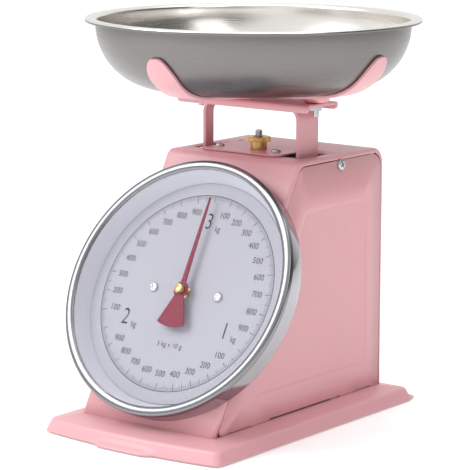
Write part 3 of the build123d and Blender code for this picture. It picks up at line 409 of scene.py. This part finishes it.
def inside(face, low, high):
    """True when a face's middle lies in a box."""
    middle = face.calc_center_median()
    return all(low[n] < middle[n] < high[n] for n in range(3))


def cut_round(shape, low, high, circle):
    """Removes the faces in a box and fills back up to a round hole."""
    gone = [f for f in shape.faces if inside(f, low, high)]
    counts = {}
    for face in gone:
        for edge in face.edges:
            counts[edge] = counts.get(edge, 0) + 1
    rim = [edge for edge, count in counts.items() if count == 1]
    bmesh.ops.delete(shape, geom=gone, context="FACES_ONLY")
    fill(shape, rim, loop(shape, circle))


under_top, over_top = 170, 180
window_faces = [f for f in cover.faces if inside(f, (-window_half, window_front, under_top),
                                                 (window_half, window_rear, over_top))]
bmesh.ops.delete(cover, geom=window_faces, context="FACES")
vent_circle = [(vent_x + x, vent_y + y, housing_top) for x, y in arc((0, 0), 1.8, 0, 337.5, 15)]
cut_round(cover, (vent_x - vent_reach, vent_y - vent_reach, under_top),
          (vent_x + vent_reach, vent_y + vent_reach, over_top), vent_circle)
shaft_circle = [dial_place @ Vector((x, y, -dial_lift)) for x, y in arc((0, 0), shaft_bore, 0, 345, 23)]
cut_round(cover, (-hole_reach, dial_y - 9, dial_z - hole_reach),
          (hole_reach, dial_y + 12, dial_z + hole_reach), shaft_circle)
new_piece("cover", cover, pink_enamel, "housing", ["wrap_cover"], thick=sheet, angle=30)

# %% [markdown]
# ## The side panels
# Each side is a flat sheet with a shallow field pressed into it, which stiffens it, and narrow slits
# along its foot. The pressed step is drawn as rings close together, so the light rolls over it and
# the sheet on both sides of it stays flat.

# %% Press the side panels
field_steps = [(-0.8, 0.0), (0.0, 0.0), (0.5, 0.05), (1.1, 0.2), (1.7, 0.35), (2.2, 0.4), (3.0, 0.4)]
slits = [(housing_rear - 125.3, housing_rear - 47.8), (housing_rear - 29.3, housing_rear - 13.3)]
slit_rise = 1.2
notch = (front_y(base_top) + 14.2, front_y(base_top) + 39.2)
notch_rise = 0.6
panel_gap = 0.8
panel_brow = 8.0
field_low, field_high = 30.0, 142.0
field_front, field_rear = 24, 15.0
field_corner = 7.0


def side_panel(name, node, side):
    """A side panel, 1 for the right and -1 for the left."""
    inset = seam_inset + panel_gap
    view = side_view(inset, panel_brow, [], [])
    toe = rounded([view[-1], view[0], view[1]], [0, 3.0, 0], 5, closed=False)[1:-1]
    foot = []
    for start, end, rise in [(*slit, slit_rise) for slit in reversed(slits)] + [(*notch, notch_rise)]:
        foot += [(end, base_top), (end, base_top + rise), (start, base_top + rise), (start, base_top)]
    outline = view[1:] + foot + toe
    panel = bmesh.new()
    outer = loop(panel, [(side * half, y, z) for y, z in outline])
    rear = housing_rear - inset - field_rear
    rings = []
    for draw, sink in field_steps:
        low, high = field_low + draw, field_high - draw
        corners = [
            (front_y(field_low) + field_front + draw, low), (rear - draw, low), (rear - draw, high),
            (front_y(field_high) + field_front + draw, high),
        ]
        ring = rounded(corners, [field_corner - draw / 2] * 4, 6)
        rings.append([(side * (half - sink), y, z) for y, z in ring])
    grid = rows(panel, rings, closed=True)
    rim = [panel.edges.get((grid[0][n - 1], grid[0][n])) for n in range(len(grid[0]))]
    fill(panel, outer, rim)
    panel.faces.new(grid[-1])
    made = new_piece(name, panel, pink_enamel, "housing", [node], angle=30)
    give_thickness(made, sheet, made.data.polygons[0].normal.x * side > 0)


side_panel("right_panel", "side_panel_right", 1)
side_panel("left_panel", "side_panel_left", -1)

# %% [markdown]
# ## The top plate
# A small plate closes the middle of the window and guides the threaded stud. Its corners are cut off
# and its edges are rounded by the paint.

# %% Cut the top plate
def thicken(shape, depth):
    """Gives every face of a flat sheet a thickness along a vector."""
    made = bmesh.ops.extrude_face_region(shape, geom=list(shape.faces), use_keep_orig=True)["geom"]
    bmesh.ops.translate(shape, verts=[v for v in made if isinstance(v, bmesh.types.BMVert)], vec=depth)


left, right = -34.0, 28.0
front, rear = yoke_front - 7.0, yoke_front + 30.0
cut = 3.0
top_plate = bmesh.new()
plate_line = [
    (left + cut, front), (right - cut, front), (right, front + cut), (right, rear - cut),
    (right - cut, rear), (left + cut, rear), (left, rear - cut), (left, front + cut),
]
stud_hole = arc((0, mechanism_y), 3.3, 0, 345, 23)
fill(top_plate, loop(top_plate, [(x, y, housing_top) for x, y in plate_line]),
     loop(top_plate, [(x, y, housing_top) for x, y in stud_hole]))
thicken(top_plate, (0, 0, sheet))
new_piece("window_plate", top_plate, pink_enamel, "housing", ["top_plate"], bevel=0.35)

# %% [markdown]
# ## The yoke
# A wide steel strap is bent over two shoulders and runs down into the housing on both sides. Its left
# leg is narrower. The strap is drawn as a line across the scale, and each point has its own rear edge.

# %% Bend the yoke
yoke_top = channel_top - 2.0
yoke_foot, leg_middle = 60.0, 120.0
yoke_bend = 10.0
wide, narrow, narrow_back = 21.5, 8.6, 3.0
strap_corners = [(-yoke_half, yoke_foot), (-yoke_half, yoke_top),
                 (yoke_half, yoke_top), (yoke_half, yoke_foot)]
strap_line = rounded(strap_corners, [0, yoke_bend, yoke_bend, 0], 10, closed=False)
strap_line.insert(1, (-yoke_half, leg_middle))
strap_line.insert(-1, (yoke_half, leg_middle))
strap_rows = []
for x, z in strap_line:
    share = fade((x + yoke_half) / yoke_bend)
    reach = narrow + (wide - narrow) * share
    start = yoke_front + narrow_back * (1 - share)
    strap_rows.append([(x, start + reach * k / 3, z) for k in range(4)])
yoke = bmesh.new()
rows(yoke, strap_rows)
yoke_piece = new_piece("yoke_strap", yoke, pink_enamel, "platform", ["yoke"], bevel=0.5)
give_thickness(yoke_piece, 2.5, yoke_piece.data.polygons[0].normal.x < 0)
yoke_piece.modifiers.move(1, 0)

# %% [markdown]
# ## The channel
# The cradle is screwed to a shallow channel that lies across the yoke with its flanges down. The free
# corners of the flanges are rounded.

# %% Fold the channel
channel_half = 52.9
channel_middle = yoke_front + 8.5
channel_side = 33.3 / 2
channel_deep = 5.0
fold = 2.2
flange_corner = 2.5
right_stations = [0.0, 20.0, 40.0] + [
    round(channel_half - flange_corner * (1 - math.sin(math.radians(a))), 4) for a in range(0, 91, 18)]
stations = [-s for s in reversed(right_stations[1:])] + right_stations
channel_rows = []
for x in stations:
    past = max(0.0, abs(x) - (channel_half - flange_corner))
    lift = flange_corner - math.sqrt(max(0.0, flange_corner ** 2 - past ** 2))
    low = channel_top - channel_deep + lift
    corners = [(-channel_side, low), (-channel_side, channel_top),
               (channel_side, channel_top), (channel_side, low)]
    line = rounded(corners, [0, fold, fold, 0], 6, closed=False)
    channel_rows.append([(x, channel_middle + y, z) for y, z in line])
channel = bmesh.new()
rows(channel, channel_rows)
channel_piece = new_piece("channel", channel, pink_enamel, "platform", ["carrier_channel"])
top_faces = [p for p in channel_piece.data.polygons if abs(p.normal.z) > 0.9]
give_thickness(channel_piece, 2.0, top_faces[0].normal.z > 0)
soften_edges(channel_piece, 0.4, 50)

# %% [markdown]
# ## The cradle
# A cross of sheet steel is dished so that its four arms follow the underside of the bowl. Each arm is
# drawn flat as rows across its length, narrowed by a round scoop on both sides and rounded at its tip,
# and every point is then lifted on to the curve of the dish. Two pressed cups reach down to the channel
# and take the heads of the screws, so that the bowl never touches them.

# %% Dish the cradle
dish_flat = bowl_radius - bowl_curve
dish_gap = 0.3
dish_curve = bowl_curve + dish_gap
dish_centre = bowl_bottom + bowl_curve
scoop_place = 84.9
scoop_radius = 74.5
arm_reach = 99.7
tip_round = 10.4
join = scoop_place - scoop_radius / math.sqrt(2)
cup_half, cup_back, cup_rise = 46.8, 9.5, 1.85
cup_places = [Vector((side * cup_half, yoke_front + cup_back)) for side in (-1, 1)]
cup_floor = channel_top + cup_rise
cup_inner, cup_outer = 6.0, 9.3


def dish_height(place):
    """The height of the dish's inner side above a place, with a pressed cup around each screw."""
    out = max(0.0, (place - Vector((bowl_x, bowl_y))).length - dish_flat)
    height = dish_centre - math.sqrt(dish_curve ** 2 - out ** 2)
    away = min((place - cup).length for cup in cup_places)
    wall = fade((away - cup_inner) / (cup_outer - cup_inner))
    return cup_floor + (height - cup_floor) * wall


def arm_half(along):
    """Half the width of an arm at a distance from the middle."""
    if along <= join:
        return along
    wide_here = scoop_place - math.sqrt(scoop_radius ** 2 - (along - scoop_place) ** 2)
    past = along - (arm_reach - tip_round)
    if past > 0:
        wide_here -= tip_round - math.sqrt(max(0.0, tip_round ** 2 - past ** 2))
    return wide_here


far = [arm_reach - tip_round * (1 - math.sin(math.radians(a))) for a in range(0, 91, 10)]
near_steps, far_steps, half_steps = 20, 56, 24
along_arm = [0.01] + [join * k / near_steps for k in range(1, near_steps + 1)]
along_arm += [join + (far[0] - join) * k / far_steps for k in range(1, far_steps)] + far
cradle = bmesh.new()
for quarter in range(4):
    spin = Matrix.Rotation(math.radians(90 * quarter), 2)
    arm = []
    for along in along_arm:
        wide_here = arm_half(along)
        row = []
        for k in range(-half_steps, half_steps + 1):
            place = Vector((bowl_x, bowl_y)) + spin @ Vector((along, wide_here * k / half_steps))
            row.append((place.x, place.y, dish_height(place)))
        arm.append(row)
    rows(cradle, arm)
cradle_piece = new_piece("cradle_cross", cradle, pink_enamel, "platform", ["cradle"], angle=50)
middle_point = Vector((bowl_x, bowl_y, bowl_bottom)) / 1000
centre_face = min(cradle_piece.data.polygons, key=lambda p: (p.center - middle_point).length)
give_thickness(cradle_piece, 1.8, centre_face.normal.z > 0)
soften_edges(cradle_piece, 0.5, 50)

# %% [markdown]
# ## The bowl
# The bowl is drawn from one disc of stainless steel: a flat floor, a deep curve, a short upright wall
# and a rim turned outwards and rolled down. It is turned here as one closed profile of even thickness.
# The inside is polished for food and the outside keeps a duller brushed surface; the outside colour is also
# painted dark as painted shade, and the inside colour painted light as painted light.

# %% Turn the bowl
bowl_wall = 0.8
bowl_flat = bowl_radius - bowl_curve
spring_line = bowl_bottom + bowl_curve
rim_top = 260.9
rim_radius = 109.0
rim_bend = 1.6
rim_roll = 1.5
outside = [(bowl_flat * k / 4, bowl_bottom) for k in range(4)]
outside += arc((bowl_flat, spring_line), bowl_curve, -90, 0, 28)
outside += arc((bowl_radius + rim_bend, rim_top - bowl_wall - rim_bend), rim_bend, 180, 90, 5)
lip = arc((rim_radius - rim_roll, rim_top - rim_roll), rim_roll, 90, -30, 8)
lip_inner = arc((rim_radius - rim_roll, rim_top - rim_roll), rim_roll - bowl_wall, -30, 90, 6)
inner_bend = rim_bend + bowl_wall
inside_line = arc((bowl_radius + rim_bend, rim_top - inner_bend), inner_bend, 90, 180, 6)
inside_line += arc((bowl_flat, spring_line), bowl_curve - bowl_wall, 0, -90, 28)
inside_line += [(bowl_flat * k / 4, bowl_bottom + bowl_wall) for k in (3, 2, 1, 0)]
bowl = bmesh.new()
turned(bowl, outside + lip_inner[::-1] + lip[::-1] + inside_line, 160, closed=False)
bowl_piece = new_piece("steel_bowl", bowl, bowl_steel, "bowl_unit", ["bowl"],
                       place=Matrix.Translation((bowl_x, bowl_y, 0)))
bowl_piece.data.materials.append(bowl_inside_painted_light)
# Faces that look up or inwards take the lighter inside steel, whose colour carries painted light.
polished_and_lit = 0
for face in bowl_piece.data.polygons:
    outwards = face.center - Vector((bowl_x, bowl_y, 0)) / 1000
    outwards.z = 0
    if face.normal.z > 0.2 or face.normal.dot(outwards.normalized()) < -0.1:
        face.material_index = 1
        polished_and_lit += 1
print("polished faces inside the bowl:", polished_and_lit, "of", len(bowl_piece.data.polygons))

# %% [markdown]
# ## The dial drum, its bezel, its wall and its lens
# A shallow chromed drum holds the dial. A thin bezel is pressed over its front and holds the lens. A
# white ring slopes from the print out to the lens. All of them are turned about the dial's own axis.

# %% Turn the drum and what it holds
drum_back = -dial_lift
drum_radius = 84.5
drum_front = 12.4
drum_sheet = 0.8
bezel_radius = drum_radius + 0.9
bezel_inner = drum_radius + 0.08
bezel_rear = 9.4
lens_seat = 12.2
opening = 79.3
drum = bmesh.new()
drum_line = [
    (shaft_bore, drum_back), (drum_radius - 1.2, drum_back), (drum_radius - 0.35, drum_back + 0.35),
    (drum_radius, drum_back + 1.2), (drum_radius, drum_front), (drum_radius - drum_sheet, drum_front),
    (drum_radius - drum_sheet, drum_back + drum_sheet), (shaft_bore, drum_back + drum_sheet),
]
turned(drum, drum_line, 160)
new_piece("chrome_drum", drum, chrome, "housing", ["dial_drum"], place=dial_place)

dome_reach = (bezel_radius - opening) / 2
dome = arc((0, 0), 1.0, 180, 0, 14)
bezel_line = [(opening + dome_reach * (1 + x), 11.9 + 1.5 * y) for x, y in dome]
bezel_line[0] = (opening, lens_seat)
bezel_line += [(bezel_radius, bezel_rear), (bezel_inner, bezel_rear), (bezel_inner, lens_seat)]
bezel = bmesh.new()
turned(bezel, bezel_line, 160)
new_piece("bezel_ring", bezel, bezel_chrome, "housing", ["bezel"], place=dial_place)

wall_line = [(74.05, -0.8), (75.0, 1.0), (76.6, 5.0), (78.3, 9.0), (opening, 11.0), (82.8, 11.0),
             (82.8, 10.3), (80.0, 10.3), (79.0, 9.0), (77.4, 5.0), (75.8, 1.0), (74.9, -0.8)]
wall = bmesh.new()
turned(wall, wall_line, 128)
new_piece("dial_wall", wall, wall_white, "housing", ["dial_wall_ring"], place=dial_place)

lens = bmesh.new()
turned(lens, [(0, 11.3), (83.4, 11.3), (83.6, 11.5), (83.6, 12.3), (83.4, 12.5), (0, 12.5)], 128,
       closed=False)
new_piece("clear_cover", lens, clear, "housing", ["lens"], place=dial_place)

# %% [markdown]
# ## The dial face and its print
# The face is a flat printed disc. Round its edge run 300 marks, one for every 10 grams, with the
# hundreds written inside them. Full kilograms are written large. The print is a thin dark layer just
# above the disc, so it stays sharp at any distance.

# %% Cut the dial face
face = bmesh.new()
dial_edge = arc((0, 0), 74.0, 0, 357.1875, 127)
face_loops = [loop(face, [(x, y, 0) for x, y in dial_edge])]
face_loops.append(loop(face, [(x, y, 0) for x, y in arc((0, 0), 3.5, 0, 345, 23)]))
fill(face, *face_loops)
thicken(face, (0, 0, -0.8))
new_piece("dial_disc", face, dial_white, "housing", ["dial_face"], place=dial_place)

# %% Print the marks and the numbers
print_height = 0.06
marks_out = 65.9
marks = bmesh.new()


def mark(angle, inner, width):
    """A thin mark that points at the middle of the dial, angle clockwise from the top."""
    turn = Matrix.Rotation(math.radians(-angle), 3, "Z")
    corners = [(-width / 2, inner), (width / 2, inner), (width / 2, marks_out), (-width / 2, marks_out)]
    marks.faces.new([marks.verts.new(turn @ Vector((x, y, print_height))) for x, y in corners])


for number in range(300):
    if number % 10 == 0:
        length, width = 5.0, 0.42
    elif number % 5 == 0:
        length, width = 3.9, 0.34
    else:
        length, width = 2.7, 0.26
    mark(number * 1.2, marks_out - length, width)
circle_rows = [[(x, y, print_height) for x, y in arc((0, 0), radius, 0, 358, 179)]
               for radius in (marks_out - 0.2, marks_out + 0.2)]
rows(marks, circle_rows, closed=True)
small_dot = [(x, y, print_height) for x, y in arc((-13.0, 3.0), 0.35, 0, 315, 7)]
marks.faces.new([marks.verts.new(p) for p in small_dot])
new_piece("dial_marks", marks, ink, "housing", place=dial_place)


numbers = bmesh.new()


def write(text, x, y, size, narrow=0.84, thin=0.0):
    """Writes a word on the dial, centred on a place."""
    words = bpy.data.curves.new("word", "FONT")
    words.body = text
    words.size = size
    words.align_x = "CENTER"
    words.align_y = "CENTER"
    words.offset = -thin
    words.resolution_u = 3
    written = bpy.data.objects.new("word", words)
    scene.collection.objects.link(written)
    bpy.context.view_layer.update()
    flat = bpy.data.meshes.new_from_object(written)
    bpy.data.objects.remove(written)
    flat.transform(Matrix.Translation((x, y, print_height)) @ Matrix.Diagonal((narrow, 1, 1, 1)))
    numbers.from_mesh(flat)
    bpy.data.meshes.remove(flat)


number_radius = 54.6
for step in range(30):
    if step % 10 == 0:
        continue
    angle = math.radians(12 * step)
    hundreds = str(step % 10 * 100)
    write(hundreds, number_radius * math.sin(angle), number_radius * math.cos(angle), 5.9, narrow=0.9)
for kilogram, x, y in (("3", 1.0, 48.0), ("1", 39.0, -21.0), ("2", -41.0, -22.0)):
    write(kilogram, x, y, 15.5, narrow=0.8, thin=0.12)
    write("kg", x + 8.0, y - 4.0, 5.8)
write("3 kg x 10 g", 0.0, -35.5, 4.8, narrow=0.95)
new_piece("dial_numbers", numbers, ink, "housing", place=dial_place)

# %% [markdown]
# ## The pointer
# The pointer is stamped from thin sheet and sprayed raspberry red. A long, slim hand widens towards
# the hub, and a broad tail balances it. A small brass nut holds it on the shaft.

# %% Stamp the pointer
pointer_height = 5.0
tail_radius = 25
hub = arc((0, 0), 5.5, 70, -48, 14)
tail_turns = [math.radians(a) for a in (20, 12, 4, -4, -12, -20)]
tail = [(11.0, -22.5)] + [(tail_radius * math.sin(t), -tail_radius * math.cos(t)) for t in tail_turns]
tail.append((-11.0, -22.5))
hub_left = [(-x, y) for x, y in reversed(hub)]
pointer_line = [(0.7, 62.6)] + hub + tail + hub_left + [(-0.7, 62.6), (-0.35, 63.0), (0.35, 63.0)]
pointer = bmesh.new()
shaft_hole = arc((0, 0), 1.2, 0, 330, 11)
fill(pointer, loop(pointer, [(x, y, pointer_height) for x, y in pointer_line]),
     loop(pointer, [(x, y, pointer_height) for x, y in shaft_hole]))
thicken(pointer, (0, 0, 0.8))
new_piece("pointer_hand", pointer, raspberry, "pointer_unit", ["pointer"],
          place=dial_place, bevel=0.15)

hub_nut = bmesh.new()
turned(hub_nut, [(1.2, 5.8), (3.2, 5.8), (3.2, 8.6), (3.0, 9.1), (2.5, 9.35), (1.9, 9.4), (1.7, 8.9),
                 (1.2, 8.8)], 40)
new_piece("hub_nut", hub_nut, brass, "pointer_unit", ["pointer_nut"], place=dial_place)

# %% [markdown]
# ## Screws
# Pan-head screws with a cross recess hold the dial, the side panels and the top plate. The head is
# turned, its crown is filled up to the outline of the cross, and the cross is sunk with tapered walls.

# %% Make the screws
def cross_outline(long_half, short_half):
    """The outline of a cross recess."""
    a, b = long_half, short_half
    return [(a, b), (b, b), (b, a), (-b, a), (-b, b), (-a, b),
            (-a, -b), (-b, -b), (-b, -a), (b, -a), (b, -b), (a, -b)]


def pan_screw(shape, place, head, height, shank, length):
    """Adds a pan-head screw whose seat is the place's own ground plane."""
    crown = head * 0.66
    before = set(shape.verts)
    turned(shape, [(shank, -length), (shank, 0), (head, 0), (head, height * 0.35),
                   (head * 0.95, height * 0.68), (head * 0.84, height * 0.9), (crown, height)], 32,
           closed=False)
    bmesh.ops.remove_doubles(shape, verts=[v for v in shape.verts if v not in before], dist=0.001)
    made = [v for v in shape.verts if v not in before]
    made_edges = {e for v in made for e in v.link_edges}
    rim = [e for e in made_edges if all(abs(v.co.z - height) < 1e-4 for v in e.verts)]
    top = cross_outline(head * 0.6, head * 0.15)
    floor = cross_outline(head * 0.42, head * 0.1)
    upper = [shape.verts.new((x, y, height)) for x, y in top]
    lower = [shape.verts.new((x, y, height * 0.45)) for x, y in floor]
    upper_edges = [shape.edges.new((upper[n - 1], upper[n])) for n in range(12)]
    fill(shape, rim, upper_edges)
    for n in range(12):
        shape.faces.new([upper[n - 1], upper[n], lower[n], lower[n - 1]])
    shape.faces.new(lower)
    made = [v for v in shape.verts if v not in before]
    bmesh.ops.transform(shape, matrix=place, verts=made)


dial_screws = bmesh.new()
for x, turn in ((-26.0, 20), (26.0, 65)):
    seat = Matrix.Translation((x, 0, 0)) @ Matrix.Rotation(math.radians(turn), 4, "Z")
    pan_screw(dial_screws, seat, head=3.2, height=1.6, shank=1.5, length=6.0)
new_piece("face_screws", dial_screws, zinc, "housing", ["dial_screws"], place=dial_place)

side_screws = bmesh.new()
screw_y, screw_drop = 35.7, 6.2
for side in (-1, 1):
    seat = Matrix.Translation((side * half, screw_y, housing_top - screw_drop))
    seat = seat @ Matrix.Rotation(side * math.radians(90), 4, "Y") @ Matrix.Rotation(math.radians(30), 4, "Z")
    pan_screw(side_screws, seat, head=3.75, height=2.0, shank=1.6, length=3.4)
new_piece("panel_screws", side_screws, zinc, "housing", ["side_screws"])

plate_screws = bmesh.new()
for x, turn in ((-29.0, 10), (17.0, 50)):
    seat = Matrix.Translation((x, yoke_front + 7.0, plate_top)) @ Matrix.Rotation(math.radians(turn), 4, "Z")
    pan_screw(plate_screws, seat, head=3.2, height=1.8, shank=1.6, length=4.6)
new_piece("plate_screws", plate_screws, zinc, "housing", ["top_plate_screws"])

# %% [markdown]
# ## The zero adjuster
# A threaded stud carries the springs. The knurled brass nut on it rests on the top plate: turning the
# nut lifts or lowers the stud and so sets the pointer to zero. The thread is a helix of one turn
# per 0.8 mm, and the knurl is a ring of small teeth.

# %% Cut the stud's thread and the nut
stud_radius = 2.5
pitch = 0.8
stud_foot, stud_top = 130.5, 187.0
thread_depth = 0.35
per_turn = 20
turns = int((stud_top - 1.0 - stud_foot) / pitch)
stud = bmesh.new()
thread_rows = []
thread = ((stud_radius - thread_depth, 0.0), (stud_radius, pitch * 0.42), (stud_radius, pitch * 0.58),
          (stud_radius - thread_depth, pitch))
for k in range(turns * per_turn + 1):
    angle = math.tau * k / per_turn
    height = stud_foot + pitch * k / per_turn
    thread_rows.append([(r * math.cos(angle), mechanism_y + r * math.sin(angle), height + rise)
                        for r, rise in thread])
rows(stud, thread_rows)
stud_place = Matrix.Translation((0, mechanism_y, 0))
turned(stud, [(0, stud_top), (1.9, stud_top), (2.15, stud_top - 0.25), (2.15, stud_foot - 0.1),
              (4.0, stud_foot), (4.0, stud_foot - 2.5), (0, stud_foot - 2.5)], 32, closed=False,
       place=stud_place)
new_piece("threaded_stud", stud, zinc, "spring_anchor", ["zero_stud"])

nut_foot = plate_top + 0.05
nut = bmesh.new()
nut_bore = 2.56
knurl_points = 160
turned(nut, [(nut_bore, nut_foot), (5.3, nut_foot), (5.5, nut_foot + 0.2), (5.5, nut_foot + 5.0),
             (7.2, nut_foot + 5.0)], 80, closed=False, place=stud_place)
knurl_levels = [(5.0, 7.2, 0.0), (5.25, 7.45, 0.25), (7.95, 7.45, 0.25), (8.2, 7.2, 0.0), (8.2, 4.2, 0.0),
                (7.6, 3.9, 0.0), (7.6, nut_bore, 0.0), (0.0, nut_bore, 0.0)]
knurl_rows = []
for level, radius, tooth in knurl_levels:
    ring = []
    for k in range(knurl_points):
        angle = math.tau * k / knurl_points
        r = radius + (tooth if k % 4 in (1, 2) else -tooth * 0.4)
        ring.append((r * math.cos(angle), mechanism_y + r * math.sin(angle), nut_foot + level))
    knurl_rows.append(ring)
rows(nut, knurl_rows, closed=True)
new_piece("knurled_nut", nut, brass, "zero_knob", ["zero_nut"], angle=25)

# %% [markdown]
# ## The springs
# Two close-wound springs hang the carriage from the stud's bar.

# %% Wind the springs
wire = 0.5
coil_radius = 3.9
spring_low, spring_high = 64.8, 129.3
coils, per_coil, wire_sides = 38, 14, 6


def wind(name, node, x):
    """A close-wound spring that reaches from the platform to the housing."""
    shape = bmesh.new()
    low, high = spring_low + wire, spring_high - wire
    rings = []
    for k in range(coils * per_coil + 1):
        share = k / (coils * per_coil)
        angle = math.tau * coils * share
        centre = Vector((x + coil_radius * math.cos(angle), mechanism_y + coil_radius * math.sin(angle),
                         low + (high - low) * share))
        out = Vector((math.cos(angle), math.sin(angle), 0))
        ring = []
        for side in range(wire_sides):
            around = math.tau * side / wire_sides
            ring.append(centre + out * wire * math.cos(around) + Vector((0, 0, wire * math.sin(around))))
        rings.append(ring)
    grid = rows(shape, rings, closed=True)
    shape.faces.new(grid[0])
    shape.faces.new(grid[-1])
    spring = new_piece(name, shape, zinc, None, [node], angle=60)
    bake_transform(spring)


wind("left_spring", "spring_left", -22.0)
wind("right_spring", "spring_right", 22.0)

# %% [markdown]
# ## The inside
# The pieces that are seldom seen keep their CAD shapes and only get their finishes: zinc-plated
# levers, rivets and brackets, brass pinion and bushes, and rubber feet.

# %% Dress the pieces that stay as CAD
zinc_nodes = [
    "base_screws", "chassis", "lever_axles", "dial_nuts", "gear_bracket", "pointer_shaft", "rack",
    "rack_arm", "yoke_pins", "yoke_rivets", "cradle_screws", "cradle_nuts", "carriage_bar",
    "carriage_rivets", "lower_lever", "upper_lever", "spring_hanger",
]
dressed = [(zinc_nodes, zinc), (["pinion", "shaft_bushes"], brass), (["feet"], rubber)]
for names, material in dressed:
    for name in names:
        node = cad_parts[name]
        node.data.materials.clear()
        node.data.materials.append(material)
print("dressed", sum(len(names) for names, material in dressed), "CAD pieces")

# %% [markdown]
# ## The studio
# A pale sheet of paper that glows a little, three broad soft lamps and a bright surround. The surround
# grows dark to the right and low down, so the metal has something dark to mirror on that side.

# %% Lay the floor and hang the lamps
paper = finish("paper", (0.93, 0.93, 0.93), 0.8, grain=(200, 200, 200), tone=0.01, height=0.01)
paper_surface = paper.node_tree.nodes["Principled BSDF"]
paper_surface.inputs["Emission Color"].default_value = (1.0, 1.0, 1.0, 1.0)
paper_surface.inputs["Emission Strength"].default_value = 0.25
floor_mesh = bpy.data.meshes.new("floor")
reach = 6.0
floor_mesh.from_pydata([(-reach, -reach, 0), (reach, -reach, 0), (reach, reach, 0), (-reach, reach, 0)], [],
                       [(0, 1, 2, 3)])
floor_mesh.materials.append(paper)
floor = bpy.data.objects.new("floor", floor_mesh)
scene.collection.objects.link(floor)


def lamp(name, place, aim, power, width, height):
    """A soft rectangular lamp turned towards a point."""
    light = bpy.data.lights.new(name, "AREA")
    light.shape = "RECTANGLE"
    light.size = width
    light.size_y = height
    light.energy = power
    hung = bpy.data.objects.new(name, light)
    scene.collection.objects.link(hung)
    hung.location = place
    hung.rotation_euler = (Vector(aim) - Vector(place)).to_track_quat("-Z", "Y").to_euler()


middle = (0, 0, 0.12)
lamp("left_lamp", (-0.9, -1.1, 1.35), middle, 16, 1.0, 1.2)
lamp("right_lamp", (1.4, -0.4, 1.15), middle, 4.3, 0.8, 1.2)
lamp("top_lamp", (0.0, 0.2, 1.6), middle, 9, 1.4, 1.4)

world = bpy.data.worlds.new("studio")
scene.world = world
world.use_nodes = True
sky = world.node_tree.nodes
sky_links = world.node_tree.links
look = sky.new("ShaderNodeTexCoord")
toward = sky.new("ShaderNodeVectorMath")
toward.operation = "DOT_PRODUCT"
toward.inputs[1].default_value = (0.90, 0.20, -0.45)
sky_links.new(look.outputs["Generated"], toward.inputs[0])
shade = sky.new("ShaderNodeMapRange")
shade.interpolation_type = "SMOOTHSTEP"
shade.inputs["From Min"].default_value = 0.05
shade.inputs["From Max"].default_value = 0.6
shade.inputs["To Min"].default_value = 0.88
shade.inputs["To Max"].default_value = 0.1
sky_links.new(toward.outputs["Value"], shade.inputs["Value"])
sky_links.new(shade.outputs["Result"], sky["Background"].inputs["Strength"])
sky["Background"].inputs["Color"].default_value = (1.0, 1.0, 1.0, 1.0)

# %% [markdown]
# ## The camera
# A long lens from the right and a little above, as for a catalogue: it shows the dial, the side and
# the inside of the bowl at once, with little perspective.

# %% Set the camera
camera_data = bpy.data.cameras.new("camera")
camera_data.lens = 180.05
camera_data.sensor_width = 36
camera_data.shift_x = -0.0287
camera_data.shift_y = -0.0081
camera = bpy.data.objects.new("camera", camera_data)
scene.collection.objects.link(camera)
camera.location = (0.9152, -1.1976, 0.3929)
camera.rotation_euler = (math.radians(79.82), math.radians(-0.21), math.radians(37.24))
scene.camera = camera
scene.view_settings.view_transform = "Standard"
